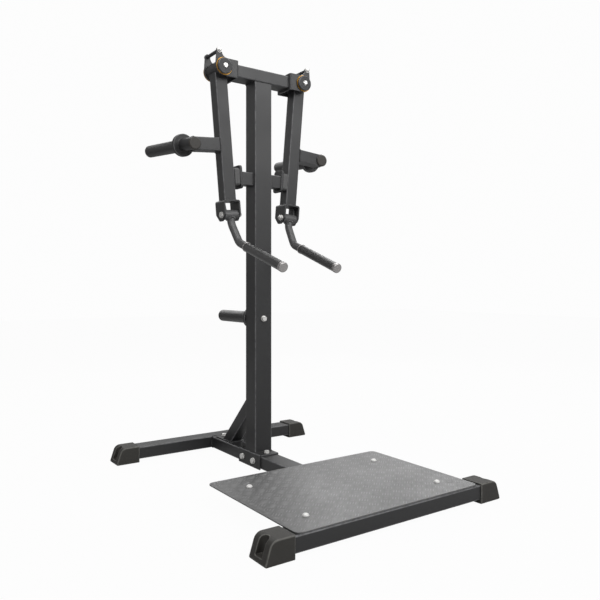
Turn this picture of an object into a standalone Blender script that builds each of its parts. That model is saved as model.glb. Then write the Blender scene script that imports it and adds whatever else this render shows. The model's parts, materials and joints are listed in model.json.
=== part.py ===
"""A standing lateral raise machine, loaded with weight plates, in metres with +Z up.

The platform is towards -Y, and left is the -X side, as seen from in front of the platform.
The origin is on the floor under the middle of the machine.
"""

import math

import bmesh
import bpy
from mathutils import Vector

OBJECT_NAME = "standing_lateral_raise_machine"

# Fits
GAP = 0.0003  # between pieces that touch
RUNNING_CLEARANCE = 0.00006  # radial, between a shaft and the bore it turns in
LEFT, RIGHT = -1, 1
SIDE_NAMES = {LEFT: "left", RIGHT: "right"}
ROUND = 24  # sides of a large round piece
SMALL_ROUND = 12  # sides of a bolt

# Fasteners
LARGE_BOLT_RADIUS = 0.006
LARGE_BOLT_HEAD = (0.019, 0.008)  # across its flats, and its height
LARGE_HOLE_RADIUS = 0.0064
SMALL_BOLT_RADIUS = 0.005
SMALL_BOLT_HEAD = (0.017, 0.0075)
SMALL_BOLT_LENGTH = 0.016
SMALL_HOLE_RADIUS = 0.0054
DOMED_HEAD = (0.0105, 0.0075)  # its radius and height
NUT_REACH = 0.018  # how far a through bolt goes past the pieces that it holds
WASHER = 0.0018
HOLE_DEPTH = 0.020  # of a cutter through a plate or a tube's wall
THROUGH = 0.2  # of a cutter through a whole piece

# Base frame
BASE_TUBE_WIDTH = 0.075
BASE_TUBE_HEIGHT = 0.048
BASE_TUBE_BOTTOM = 0.013
BASE_TUBE_TOP = BASE_TUBE_BOTTOM + BASE_TUBE_HEIGHT
BASE_TUBE_MIDDLE = BASE_TUBE_BOTTOM + BASE_TUBE_HEIGHT / 2
TUBE_WALL = 0.003
TUBE_CORNER = 0.005
POST_Y = 0.19575
FRONT_TUBE_Y = POST_Y - 0.7607
REAR_TUBE_Y = POST_Y + 0.3692
FRONT_HALF_SPAN = 0.4618
REAR_HALF_SPAN = 0.4569

# Rubber feet
FOOT_LENGTH = 0.095
FOOT_WIDTH = 0.086
FOOT_HEIGHT = 0.066
FOOT_END_SLOPE = 0.33
FOOT_TOP_CORNER = 0.026
FOOT_TOE_CORNER = 0.005
FOOT_EDGE = 0.004
FOOT_POCKET_END = 0.045  # from the pocket's end to the foot's outer end
FOOT_RECESS_RADIUS = 0.017
FOOT_RECESS_REACH = 0.020  # from the recess's centre to the foot's outer end
FOOT_RECESS_FLOOR = 0.016

# Standing platform
PLATFORM_HALF_WIDTH = 0.358
PLATFORM_FRONT = POST_Y - 0.7956
PLATFORM_REAR = POST_Y - 0.2716
PLATFORM_THICKNESS = 0.0045
PLATFORM_CORNER = 0.020
PLATFORM_BOLT_X = 0.265
PLATFORM_BOLT_Y = {"front": POST_Y - 0.702, "rear": POST_Y - 0.385}
BEARER_SIZE = 0.040
BEARER_REAR = POST_Y - 0.364

# Post and its saddle
POST_SIZE = 0.075
POST_CORNER = 0.004
SADDLE_THICKNESS = 0.005
SADDLE_SIDE_BOTTOM = 0.010
SADDLE_REAR = POST_Y + 0.084
SADDLE_SIDE_FRONT = POST_Y - 0.078
SADDLE_FRONT = POST_Y - 0.084
SADDLE_BOLT_Y = {"front": POST_Y - 0.033, "rear": POST_Y + 0.050}
SADDLE_BOLT_Z = 0.037
SADDLE_FLANGE_BOLT_Y = POST_Y - 0.061
FLANGE_HALF_WIDTH = 0.038
FLANGE_CORNER = 0.010
HEEL_HALF_WIDTH = 0.030
HEEL_HEIGHT = 0.022
BRACE_SIZE = 0.050
BRACE_POST_HEIGHT = 0.245
BRACE_PLATE_FRONT = POST_Y + 0.172
BRACE_PLATE_REAR = POST_Y + 0.312
BRACE_PLATE_WIDTH = 0.064
BRACE_PLATE_CORNER = 0.008
BRACE_BOLT_Y = POST_Y + 0.290

# Plate storage horn
STORAGE_HORN_Z = 0.586
STORAGE_HORN_END = 0.2625  # from the rear face of the post
STORAGE_BOLT_REACH = 0.016  # past the post, into the horn
HORN_RADIUS = 0.024
HORN_WALL = 0.003
HORN_BASE = 0.012  # the solid end of the horn that is bolted to the post
HORN_SPIGOT = 0.014
COLLAR_RADIUS = 0.0425
COLLAR_THICKNESS = 0.018
HORN_CAP_LENGTH = 0.009
HORN_CAP_EDGE = 0.005

# Top beam and pivot brackets
PIVOT_X = 0.1803
PIVOT_Z = 1.5327
ARM_TILT = math.radians(4.9)
BEAM_HEIGHT = 0.047
BRACKET_WEB_X = 0.1167
BRACKET_PLATE = 0.007
BRACKET_HALF_DEPTH = 0.051
BRACKET_HALF_HEIGHT = 0.033
BRACKET_BEND = 0.009
EAR_OUT = 0.019
EAR_UP = 0.0575
EAR_RADIUS = 0.011
EAR_FILLET = 0.023
STOP_ROD_RADIUS = 0.00675
STOP_BOLT_RADIUS = 0.004
STOP_HEAD_RADIUS = 0.0095
STOP_HEAD = 0.007

# Pivot pins and bushes
PIN_RADIUS = 0.020
BUSH_BARREL_RADIUS = 0.023
BUSH_FLANGE_RADIUS = 0.0325
BUSH_FLANGE = 0.0045
FRONT_DISC_RADIUS = 0.0305
FRONT_DISC = 0.0085
REAR_DISC_RADIUS = 0.026
REAR_DISC = 0.004
PIN_HEAD_RADIUS = 0.0088
PIN_FRONT_HEAD = 0.0045
PIN_REAR_HEAD = 0.006

# Arms, measured from the pivot down along the arm
ARM_TUBE = 0.050
ARM_CORNER = 0.004
HUB_RADIUS = 0.0285
HUB_HALF_LENGTH = 0.0435
ARM_LENGTH = 0.494
OUTRIGGER_DOWN = 0.285
OUTRIGGER_LAP = 0.004  # how far its coped end goes past the horn's axis
WEIGHT_HORN_OUT = 0.1325
WEIGHT_HORN_DOWN = 0.2866
WEIGHT_HORN_FRONT_Y = -0.0343
WEIGHT_HORN_LENGTH = 0.382
WEIGHT_HORN_COLLAR = 0.089  # from the front end to the collar
WEIGHT_HORN_RISE = math.radians(4.63)
WEIGHT_HORN_SPLAY = math.radians(3.21)

# Stop bar and its buffers
STOP_BAR_Z = 1.129
STOP_BAR_SIZE = 0.050
STOP_BAR_HALF_LENGTH = 0.0915
STOP_PLATE_THICKNESS = 0.009
STOP_PLATE_HEIGHT = 0.089
STOP_PLATE_DEPTH = 0.060
STOP_PLATE_CORNER = 0.012
STOP_BLOCK_THICKNESS = 0.023
STOP_BLOCK_HEIGHT = 0.067
STOP_BLOCK_DEPTH = 0.056
STOP_BLOCK_CORNER = 0.010

# Clevises and handles
CLEVIS_PLATE = 0.006
CLEVIS_HALF_WIDTH = 0.035
CLEVIS_HALF_DEPTH = 0.036
CLEVIS_END = 0.573
CLEVIS_CHAMFER = 0.025
CLEVIS_BEND = 0.009
HANDLE_PIVOT_DOWN = 0.5495
HANDLE_PIVOT_Y = -0.012
HANDLE_BOLT_RADIUS = 0.005
NUT_RADIUS = 0.0125
NUT_HEIGHT = 0.013
CLEVIS_BOLT_HEAD = 0.007
SLEEVE_RADIUS = 0.019
SLEEVE_HALF_LENGTH = 0.0284
ROD_RADIUS = 0.015
LUG_THICKNESS = 0.008
LUG_INSET = 0.003  # from the sleeve's outboard end
ROD_START = ((0.0, 0.003), (0.006, 0.0375))  # forward and down from the bolt
ROD_BENDS = (0.060, 0.045)
GRIP_START = (0.1066, 0.1275)  # forward and down from the bolt
ROD_KNEE = 0.0555  # from the rod's lower bend to the grip
GRIP_SLOPE = math.radians(18.8)
GRIP_RADIUS = 0.0174
GRIP_LENGTH = 0.234
RING_RADIUS = 0.0190
RING_LENGTH = 0.006
GRIP_CAP_RADIUS = 0.0181
GRIP_CAP_LENGTH = 0.014
CAP_SPIGOT_RADIUS = 0.008
CAP_SPIGOT_LENGTH = 0.012

# Turns that lay an outline's depth, or a turned piece's axis, along a direction
DEPTH_ALONG_X = (math.pi / 2, 0, math.pi / 2)
DEPTH_ALONG_Y = (math.pi / 2, 0, 0)
AXIS_FRONT = (math.pi / 2, 0, 0)
AXIS_REAR = (-math.pi / 2, 0, 0)
AXIS_RIGHT = (0, math.pi / 2, 0)
AXIS_LEFT = (0, -math.pi / 2, 0)

FINISHES = {
    "powder_coat": ((0.10, 0.10, 0.105), 0.45, 0.3),
    "foot_rubber": ((0.045, 0.042, 0.038), 0.75, 0.0),
    "tread_plate": ((0.30, 0.30, 0.30), 0.55, 0.6),
    "zinc": ((0.60, 0.60, 0.58), 0.30, 1.0),
    "bronze": ((0.55, 0.35, 0.10), 0.30, 1.0),
    "blackened_steel": ((0.03, 0.03, 0.032), 0.40, 0.6),
    "cap_plastic": ((0.06, 0.055, 0.05), 0.55, 0.0),
    "buffer_rubber": ((0.12, 0.12, 0.12), 0.70, 0.0),
    "grip_rubber": ((0.02, 0.02, 0.02), 0.80, 0.0),
    "aluminium": ((0.62, 0.61, 0.60), 0.30, 1.0),
}


# Scene and materials


def clear_scene():
    for thing in list(bpy.data.objects):
        bpy.data.objects.remove(thing, do_unlink=True)


def new_collection(name):
    collection = bpy.data.collections.new(name)
    bpy.context.scene.collection.children.link(collection)
    return collection


def finish_for(name, finish):
    """A material of the piece's own, in one of the machine's finishes."""
    colour, roughness, metallic = FINISHES[finish]
    material = bpy.data.materials.new(name)
    material.use_nodes = True
    shader = material.node_tree.nodes["Principled BSDF"]
    shader.inputs["Base Color"].default_value = (*colour, 1)
    shader.inputs["Roughness"].default_value = roughness
    shader.inputs["Metallic"].default_value = metallic
    return material


def shade_round(mesh):
    mesh.shade_smooth()
    mesh.set_sharp_from_angle(angle=math.radians(35))


def place(thing, location, rotation=(0, 0, 0), parent=None):
    thing.location = location
    thing.rotation_euler = rotation
    thing.parent = parent
    return thing


def as_piece(thing, finish):
    """Make an object one of the machine's pieces."""
    thing.data.materials.append(finish_for(thing.name, finish))
    bpy.data.collections[OBJECT_NAME].objects.link(thing)
    return thing


def as_cutter(thing):
    """Make an object a guide for a Boolean, which isn't a piece."""
    thing.hide_render = True
    thing.display_type = "WIRE"
    bpy.data.collections["cutters"].objects.link(thing)
    return thing


def combine(thing, other, operation):
    modifier = thing.modifiers.new(operation.lower(), "BOOLEAN")
    modifier.operation = operation
    modifier.object = as_cutter(other)
    return thing


def cut(thing, other):
    return combine(thing, other, "DIFFERENCE")


def join(thing, other):
    return combine(thing, other, "UNION")


def empty(name, location, rotation=(0, 0, 0), parent=None):
    thing = bpy.data.objects.new(name, None)
    bpy.data.collections[OBJECT_NAME].objects.link(thing)
    return place(thing, location, rotation, parent)


# Outlines


def arc(centre, radius, start, end, steps):
    """Points on a circle between two angles in degrees."""
    angles = [math.radians(start + (end - start) * i / steps) for i in range(steps + 1)]
    return [(centre[0] + radius * math.cos(a), centre[1] + radius * math.sin(a)) for a in angles]


def rounded_corner(before, corner, after, radius, steps):
    """The arc that replaces a corner between two straight runs."""
    before, corner, after = Vector(before), Vector(corner), Vector(after)
    to_before = (before - corner).normalized()
    to_after = (after - corner).normalized()
    half = to_before.angle(to_after) / 2
    centre = corner + (to_before + to_after).normalized() * (radius / math.sin(half))
    start = corner + to_before * (radius / math.tan(half)) - centre
    end = corner + to_after * (radius / math.tan(half)) - centre
    first = math.atan2(start.y, start.x)
    sweep = (math.atan2(end.y, end.x) - first + math.pi) % (2 * math.pi) - math.pi
    return arc(centre, radius, math.degrees(first), math.degrees(first + sweep), steps)


def rounded(corners, radii, steps=2):
    """A closed outline with each corner rounded; a radius of 0 leaves it sharp."""
    points = []
    for i, corner in enumerate(corners):
        if radii[i]:
            after = corners[(i + 1) % len(corners)]
            points += rounded_corner(corners[i - 1], corner, after, radii[i], steps)
        else:
            points.append(corner)
    return points


def rectangle(width, height, radius, steps=2):
    x, y = width / 2, height / 2
    return rounded([(-x, -y), (x, -y), (x, y), (-x, y)], [radius] * 4, steps)


def sided(outline, side):
    """An outline drawn for the right side, turned over for the left."""
    return [(side * x, y) for x, y in outline]


# Shapes


def meshed(curve_object, name):
    """A curve's evaluated shape as a mesh, its caps welded to its sides."""
    bpy.context.scene.collection.objects.link(curve_object)
    bpy.context.view_layer.update()
    evaluated = curve_object.evaluated_get(bpy.context.evaluated_depsgraph_get())
    mesh = bpy.data.meshes.new_from_object(evaluated)
    mesh.name = name
    edited = bmesh.new()
    edited.from_mesh(mesh)
    bmesh.ops.remove_doubles(edited, verts=edited.verts, dist=0.00001)
    bmesh.ops.recalc_face_normals(edited, faces=edited.faces)
    edited.to_mesh(mesh)
    edited.free()
    mesh.materials.clear()
    thing = bpy.data.objects.new(name, mesh)
    thing.matrix_world = curve_object.matrix_world
    bpy.data.objects.remove(curve_object, do_unlink=True)
    return thing


def extruded(name, outline, depth, hole=None):
    """A flat outline in XY with a depth centred on it along Z."""
    curve = bpy.data.curves.new(name, "CURVE")
    curve.dimensions = "2D"
    curve.fill_mode = "BOTH"
    curve.extrude = depth / 2
    for points in [outline] + ([hole] if hole else []):
        spline = curve.splines.new("POLY")
        spline.points.add(len(points) - 1)
        for spot, (x, y) in zip(spline.points, points):
            spot.co = (x, y, 0, 1)
        spline.use_cyclic_u = True
    return meshed(bpy.data.objects.new(name + "_outline", curve), name)


def tube_section(name, width, height, corner, length):
    """A rectangular tube, open at both ends."""
    hole = rectangle(width - 2 * TUBE_WALL, height - 2 * TUBE_WALL, corner - TUBE_WALL / 2)
    return extruded(name, rectangle(width, height, corner), length, hole)


def turned(name, profile, sides=ROUND):
    """A profile of (radius, height) points turned about Z, its outer side from top to bottom.

    A profile that starts and ends on the axis is solid, and any other is closed on itself.
    """
    mesh = bpy.data.meshes.new(name)
    spots = [(radius, 0, height) for radius, height in profile]
    edges = [(i, i + 1) for i in range(len(spots) - 1)]
    if profile[0][0] or profile[-1][0]:
        edges.append((len(spots) - 1, 0))
    mesh.from_pydata(spots, edges, [])
    thing = bpy.data.objects.new(name, mesh)
    screw = thing.modifiers.new("turn", "SCREW")
    screw.steps = sides
    screw.render_steps = sides
    screw.use_merge_vertices = True
    screw.merge_threshold = 0.00005
    screw.use_smooth_shade = True
    return thing


def cylinder(name, radius, length, sides=ROUND):
    """A round bar along Z, centred on its object."""
    mesh = bpy.data.meshes.new(name)
    shape = bmesh.new()
    bmesh.ops.create_cone(
        shape, cap_ends=True, segments=sides, radius1=radius, radius2=radius, depth=length
    )
    shape.to_mesh(mesh)
    shape.free()
    return bpy.data.objects.new(name, mesh)


def block(name, size):
    """A box centred on its object."""
    mesh = bpy.data.meshes.new(name)
    shape = bmesh.new()
    bmesh.ops.create_cube(shape, size=1)
    bmesh.ops.scale(shape, vec=size, verts=shape.verts)
    shape.to_mesh(mesh)
    shape.free()
    return bpy.data.objects.new(name, mesh)


def bar(name, path, radius, bevel_resolution):
    """A round bar along the points of a path."""
    curve = bpy.data.curves.new(name, "CURVE")
    curve.dimensions = "3D"
    curve.bevel_depth = radius
    curve.bevel_resolution = bevel_resolution
    curve.use_fill_caps = True
    spline = curve.splines.new("POLY")
    spline.points.add(len(path) - 1)
    for spot, point in zip(spline.points, path):
        spot.co = (*point, 1)
    return meshed(bpy.data.objects.new(name + "_path", curve), name)


def soften(thing, width, segments=1):
    """Round an object's sharp edges."""
    bevel = thing.modifiers.new("soften", "BEVEL")
    bevel.width = width
    bevel.segments = segments
    bevel.limit_method = "ANGLE"
    bevel.angle_limit = math.radians(50)
    return thing


def bore_radius(shaft_radius, sides=ROUND):
    """The corner radius of a bore whose flats clear the corners of the shaft that turns in it."""
    return (shaft_radius + RUNNING_CLEARANCE) / math.cos(math.pi / sides)


# Fasteners, along Z with the underside of the head at 0 and the shank below


def hex_bolt(name, shank_radius, shank_length, head, grip_length=0):
    """A hexagon bolt with a washer, and a nut with its washer at grip_length if that is given."""
    head_width, head_height = head
    washer_radius = head_width * 0.62
    washer = WASHER
    profile = [
        (0, washer + head_height * 0.4),
        (head_width * 0.4, washer + head_height * 0.4),
        (head_width * 0.4, washer),
        (washer_radius, washer),
        (washer_radius, 0),
        (shank_radius, 0),
        (shank_radius, -shank_length),
        (0, -shank_length),
    ]
    if grip_length:
        profile[6:7] = [
            (shank_radius, -grip_length),
            (washer_radius, -grip_length),
            (washer_radius, -grip_length - washer),
            (shank_radius, -grip_length - washer),
            (shank_radius, -shank_length),
        ]
    bolt = turned(name, profile, SMALL_ROUND)
    sunk = 0.0005  # how far a hexagon reaches into its washer, so that they join
    heights = [washer + (head_height - sunk) / 2]
    if grip_length:
        heights.append(-grip_length - washer - (head_height - sunk) / 2)
    for i, height in enumerate(heights):
        head = cylinder(f"{name}_head_{i}", head_width / math.sqrt(3), head_height + sunk, 6)
        place(head, (0, 0, height), parent=bolt)
        join(bolt, head)
    return bolt


def domed_bolt(name):
    """A round-headed bolt."""
    head_radius, head_height = DOMED_HEAD
    dome = [
        (head_radius * math.sin(a), head_height * math.cos(a))
        for a in [math.pi / 2 * i / 3 for i in range(4)]
    ]
    profile = dome + [
        (SMALL_BOLT_RADIUS, 0),
        (SMALL_BOLT_RADIUS, -SMALL_BOLT_LENGTH),
        (0, -SMALL_BOLT_LENGTH),
    ]
    return turned(name, profile, SMALL_ROUND)


# Base frame


def foot(name, side, half_span, tube_y):
    """A rubber sleeve over a cross tube's end, with a sloped end and a moulded recess in it."""
    inner = half_span - FOOT_LENGTH
    top = half_span - FOOT_END_SLOPE * FOOT_HEIGHT
    corners = [(inner, 0), (half_span, 0), (top, FOOT_HEIGHT), (inner, FOOT_HEIGHT)]
    outline = rounded(corners, [0, FOOT_TOE_CORNER, FOOT_TOP_CORNER, 0], 4)
    piece = extruded(name, sided(outline, side), FOOT_WIDTH)
    soften(place(piece, (0, tube_y, 0), DEPTH_ALONG_Y), FOOT_EDGE)
    pocket_end = half_span - FOOT_POCKET_END
    width = BASE_TUBE_WIDTH + 2 * GAP
    height = BASE_TUBE_HEIGHT + 2 * GAP
    length = pocket_end - inner + 0.02
    pocket = extruded(name + "_pocket", rectangle(width, height, TUBE_CORNER), length)
    place(pocket, (side * (pocket_end - length / 2), tube_y, BASE_TUBE_MIDDLE), DEPTH_ALONG_X)
    cut(piece, pocket)
    centre = half_span - FOOT_RECESS_REACH
    recess_outline = arc((centre, 0), FOOT_RECESS_RADIUS, 90, 270, 6) + [
        (half_span + 0.02, -FOOT_RECESS_RADIUS),
        (half_span + 0.02, FOOT_RECESS_RADIUS),
    ]
    recess = extruded(name + "_recess", sided(recess_outline, side), 0.08)
    place(recess, (0, tube_y, FOOT_RECESS_FLOOR + 0.04))
    cut(piece, recess)
    return as_piece(piece, "foot_rubber")


def cross_tube(name, half_span, tube_y):
    length = 2 * (half_span - FOOT_POCKET_END - GAP)
    tube = tube_section(name, BASE_TUBE_WIDTH, BASE_TUBE_HEIGHT, TUBE_CORNER, length)
    place(tube, (0, tube_y, BASE_TUBE_MIDDLE), DEPTH_ALONG_X)
    return as_piece(tube, "powder_coat")


def bolt_hole(name, radius, length, location, rotation=(0, 0, 0), parent=None):
    return place(cylinder(name, radius, length, SMALL_ROUND), location, rotation, parent)


def spine_tube():
    """The lengthwise tube between the cross tubes, holed for the saddle and the brace."""
    start = FRONT_TUBE_Y + BASE_TUBE_WIDTH / 2 + GAP
    end = REAR_TUBE_Y - BASE_TUBE_WIDTH / 2 - GAP
    tube = tube_section(
        "spine_tube", BASE_TUBE_WIDTH, BASE_TUBE_HEIGHT, TUBE_CORNER, end - start
    )
    place(tube, (0, (start + end) / 2, BASE_TUBE_MIDDLE), DEPTH_ALONG_Y)
    for end_name, y in SADDLE_BOLT_Y.items():
        where = (0, y, SADDLE_BOLT_Z)
        hole_name = f"spine_hole_{end_name}"
        cut(tube, bolt_hole(hole_name, LARGE_HOLE_RADIUS, THROUGH, where, AXIS_RIGHT))
    for end_name, y in (("flange", SADDLE_FLANGE_BOLT_Y), ("brace", BRACE_BOLT_Y)):
        where = (0, y, BASE_TUBE_TOP)
        hole_name = f"spine_hole_{end_name}"
        cut(tube, bolt_hole(hole_name, SMALL_HOLE_RADIUS, HOLE_DEPTH, where))
    return as_piece(tube, "powder_coat")


def platform():
    """The tread plate, its two bearers and its four bolts."""
    depth = PLATFORM_REAR - PLATFORM_FRONT
    outline = rectangle(2 * PLATFORM_HALF_WIDTH, depth, PLATFORM_CORNER, 4)
    plate = extruded("platform_plate", outline, PLATFORM_THICKNESS)
    bottom = BASE_TUBE_TOP + GAP
    middle = (PLATFORM_FRONT + PLATFORM_REAR) / 2
    place(plate, (0, middle, bottom + PLATFORM_THICKNESS / 2))
    start = FRONT_TUBE_Y + BASE_TUBE_WIDTH / 2 + GAP
    for side, side_name in SIDE_NAMES.items():
        x = side * PLATFORM_BOLT_X
        bearer = extruded(
            f"platform_bearer_{side_name}",
            rectangle(BEARER_SIZE, BEARER_SIZE, TUBE_CORNER),
            BEARER_REAR - start,
        )
        z = BASE_TUBE_TOP - BEARER_SIZE / 2
        place(bearer, (x, (start + BEARER_REAR) / 2, z), DEPTH_ALONG_Y)
        inside = BEARER_SIZE - 2 * TUBE_WALL
        hollow = extruded(
            f"bearer_hollow_{side_name}", rectangle(inside, inside, 0.003), BEARER_REAR - start
        )
        place(hollow, (x, (start + BEARER_REAR) / 2 - TUBE_WALL, z), DEPTH_ALONG_Y)
        cut(bearer, hollow)
        for end_name, y in PLATFORM_BOLT_Y.items():
            hole_name = f"platform_hole_{end_name}_{side_name}"
            where = (x, y, BASE_TUBE_TOP)
            cut(plate, bolt_hole(hole_name, SMALL_HOLE_RADIUS, HOLE_DEPTH, where))
            below = bolt_hole(hole_name + "_below", SMALL_HOLE_RADIUS, HOLE_DEPTH, where)
            cut(bearer, below)
            bolt = domed_bolt(f"platform_bolt_{end_name}_{side_name}")
            place(bolt, (x, y, bottom + PLATFORM_THICKNESS + GAP))
            as_piece(bolt, "zinc")
        as_piece(bearer, "powder_coat")
    return as_piece(plate, "tread_plate")


def post_saddle():
    """A channel over the spine that carries the post, with a flange ahead and a heel behind."""
    plate_bottom = BASE_TUBE_TOP + GAP
    top = plate_bottom + SADDLE_THICKNESS
    inner = BASE_TUBE_WIDTH / 2 + GAP
    outer = inner + SADDLE_THICKNESS
    corners = [
        (outer, SADDLE_SIDE_BOTTOM),
        (outer, top),
        (-outer, top),
        (-outer, SADDLE_SIDE_BOTTOM),
        (-inner, SADDLE_SIDE_BOTTOM),
        (-inner, plate_bottom),
        (inner, plate_bottom),
        (inner, SADDLE_SIDE_BOTTOM),
    ]
    length = SADDLE_REAR - SADDLE_SIDE_FRONT
    saddle = extruded("post_saddle", rounded(corners, [0, 0.004, 0.004, 0, 0, 0, 0, 0]), length)
    place(saddle, (0, (SADDLE_REAR + SADDLE_SIDE_FRONT) / 2, 0), DEPTH_ALONG_Y)
    flange_length = POST_Y - SADDLE_FRONT
    flange = extruded(
        "saddle_flange",
        rounded(
            [
                (-FLANGE_HALF_WIDTH, -flange_length),
                (FLANGE_HALF_WIDTH, -flange_length),
                (FLANGE_HALF_WIDTH, 0),
                (-FLANGE_HALF_WIDTH, 0),
            ],
            [FLANGE_CORNER, FLANGE_CORNER, 0, 0],
        ),
        SADDLE_THICKNESS - GAP,
    )
    join(saddle, place(flange, (0, POST_Y, (plate_bottom + top) / 2)))
    heel_start = POST_Y + POST_SIZE / 2 + GAP
    heel_size = (2 * HEEL_HALF_WIDTH, SADDLE_REAR - 0.002 - heel_start, HEEL_HEIGHT + 0.002)
    heel = soften(block("saddle_heel", heel_size), 0.004)
    middle = (heel_start + SADDLE_REAR - 0.002) / 2
    join(saddle, place(heel, (0, middle, top + HEEL_HEIGHT / 2 - 0.001)))
    for end_name, y in SADDLE_BOLT_Y.items():
        where = (0, y, SADDLE_BOLT_Z)
        hole_name = f"saddle_hole_{end_name}"
        cut(saddle, bolt_hole(hole_name, LARGE_HOLE_RADIUS, THROUGH, where, AXIS_RIGHT))
        across = 2 * (outer + GAP)
        bolt = hex_bolt(
            f"saddle_bolt_{end_name}",
            LARGE_BOLT_RADIUS,
            across + NUT_REACH,
            LARGE_BOLT_HEAD,
            across,
        )
        place(bolt, (-outer - GAP, y, SADDLE_BOLT_Z), AXIS_LEFT)
        as_piece(bolt, "zinc")
    where = (0, SADDLE_FLANGE_BOLT_Y, top)
    cut(saddle, bolt_hole("saddle_flange_hole", SMALL_HOLE_RADIUS, HOLE_DEPTH, where))
    bolt = hex_bolt("saddle_flange_bolt", SMALL_BOLT_RADIUS, SMALL_BOLT_LENGTH, SMALL_BOLT_HEAD)
    place(bolt, (0, SADDLE_FLANGE_BOLT_Y, top + GAP))
    as_piece(bolt, "zinc")
    return as_piece(saddle, "powder_coat")


def post():
    """The upright, with a window for the stop bar and holes for the storage horn's bolt."""
    bottom = BASE_TUBE_TOP + SADDLE_THICKNESS + 2 * GAP
    top = PIVOT_Z - BEAM_HEIGHT / 2 - GAP
    upright = tube_section("upright_post", POST_SIZE, POST_SIZE, POST_CORNER, top - bottom)
    place(upright, (0, POST_Y, (top + bottom) / 2))
    window_size = STOP_BAR_SIZE + 2 * GAP
    window = extruded("post_window", rectangle(window_size, window_size, ARM_CORNER), THROUGH)
    cut(upright, place(window, (0, POST_Y, STOP_BAR_Z), DEPTH_ALONG_X))
    where = (0, POST_Y, STORAGE_HORN_Z)
    cut(upright, bolt_hole("post_hole", LARGE_HOLE_RADIUS, THROUGH, where, AXIS_REAR))
    return as_piece(upright, "powder_coat")


def rear_brace():
    """A tube that leans from the spine to the post at 45 degrees, on a bolted foot plate."""
    plate_bottom = BASE_TUBE_TOP + GAP
    plate_top = plate_bottom + SADDLE_THICKNESS
    face = POST_Y + POST_SIZE / 2 + GAP
    reach = BRACE_SIZE / math.sqrt(2)
    foot_y = face + BRACE_POST_HEIGHT - plate_top

    def leaning(name, half, above, below, width):
        corners = [
            (face - above, BRACE_POST_HEIGHT + half + above),
            (face - above, BRACE_POST_HEIGHT - half + above),
            (foot_y - half + below, plate_top - below),
            (foot_y + half + below, plate_top - below),
        ]
        return place(extruded(name, corners, width), (0, 0, 0), DEPTH_ALONG_X)

    brace = soften(leaning("rear_brace", reach, 0, 0.001, BRACE_SIZE), 0.003)
    inside = reach - TUBE_WALL * math.sqrt(2)
    cut(brace, leaning("brace_hollow", inside, 0.02, 0, BRACE_SIZE - 2 * TUBE_WALL))
    length = BRACE_PLATE_REAR - BRACE_PLATE_FRONT
    plan = rectangle(BRACE_PLATE_WIDTH, length, BRACE_PLATE_CORNER)
    sole = extruded("brace_sole", plan, SADDLE_THICKNESS)
    middle = (BRACE_PLATE_REAR + BRACE_PLATE_FRONT) / 2
    join(brace, place(sole, (0, middle, plate_bottom + SADDLE_THICKNESS / 2)))
    where = (0, BRACE_BOLT_Y, plate_top)
    cut(brace, bolt_hole("brace_hole", SMALL_HOLE_RADIUS, HOLE_DEPTH, where))
    bolt = hex_bolt("rear_brace_bolt", SMALL_BOLT_RADIUS, SMALL_BOLT_LENGTH, SMALL_BOLT_HEAD)
    as_piece(place(bolt, (0, BRACE_BOLT_Y, plate_top + GAP)), "zinc")
    return as_piece(brace, "powder_coat")


# Plate horns


def horn_tube(name, length, collar_start, base_hole=0):
    """A hollow horn along Z from 0, with a collar, and a closed base if base_hole is given."""
    collar_end = collar_start + COLLAR_THICKNESS
    edge = 0.0015
    outside = [
        (HORN_RADIUS, length),
        (HORN_RADIUS, collar_end),
        (COLLAR_RADIUS - edge, collar_end),
        (COLLAR_RADIUS, collar_end - edge),
        (COLLAR_RADIUS, collar_start + edge),
        (COLLAR_RADIUS - edge, collar_start),
    ]
    if base_hole:
        bore = HORN_RADIUS - HORN_WALL
        inside = [(base_hole, 0), (base_hole, HORN_BASE), (bore, HORN_BASE), (bore, length)]
    else:
        outside += [(HORN_RADIUS, collar_start), (HORN_RADIUS, 0)]
        inside = [(HORN_RADIUS - HORN_WALL, 0), (HORN_RADIUS - HORN_WALL, length)]
    return turned(name, outside + inside)


def horn_cap(name):
    """A plug along Z: a rounded head above 0, and a spigot below it."""
    corner = (HORN_RADIUS - HORN_CAP_EDGE, HORN_CAP_LENGTH - HORN_CAP_EDGE)
    edge = arc(corner, HORN_CAP_EDGE, 90, 0, 2)
    spigot = HORN_RADIUS - HORN_WALL - GAP
    profile = [(0, HORN_CAP_LENGTH)] + edge + [
        (HORN_RADIUS, GAP),
        (spigot, GAP),
        (spigot, -HORN_SPIGOT),
        (0, -HORN_SPIGOT),
    ]
    return turned(name, profile)


def storage_horn():
    """A level horn behind the post, held by a bolt through it."""
    start = POST_Y + POST_SIZE / 2 + GAP
    length = STORAGE_HORN_END - HORN_CAP_LENGTH
    horn = horn_tube("storage_horn", length, 0, LARGE_HOLE_RADIUS)
    as_piece(place(horn, (0, start, STORAGE_HORN_Z), AXIS_REAR), "powder_coat")
    cap = place(horn_cap("storage_horn_cap"), (0, start + length, STORAGE_HORN_Z), AXIS_REAR)
    as_piece(cap, "cap_plastic")
    reach = POST_SIZE + STORAGE_BOLT_REACH
    bolt = hex_bolt("storage_horn_bolt", LARGE_BOLT_RADIUS, reach, LARGE_BOLT_HEAD)
    place(bolt, (0, POST_Y - POST_SIZE / 2 - GAP, STORAGE_HORN_Z), AXIS_FRONT)
    as_piece(bolt, "zinc")


# Top of the machine


def top_beam():
    length = 2 * (BRACKET_WEB_X - GAP)
    beam = tube_section("top_beam", POST_SIZE, BEAM_HEIGHT, TUBE_CORNER, length)
    place(beam, (0, POST_Y, PIVOT_Z), DEPTH_ALONG_X)
    return as_piece(beam, "powder_coat")


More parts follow.
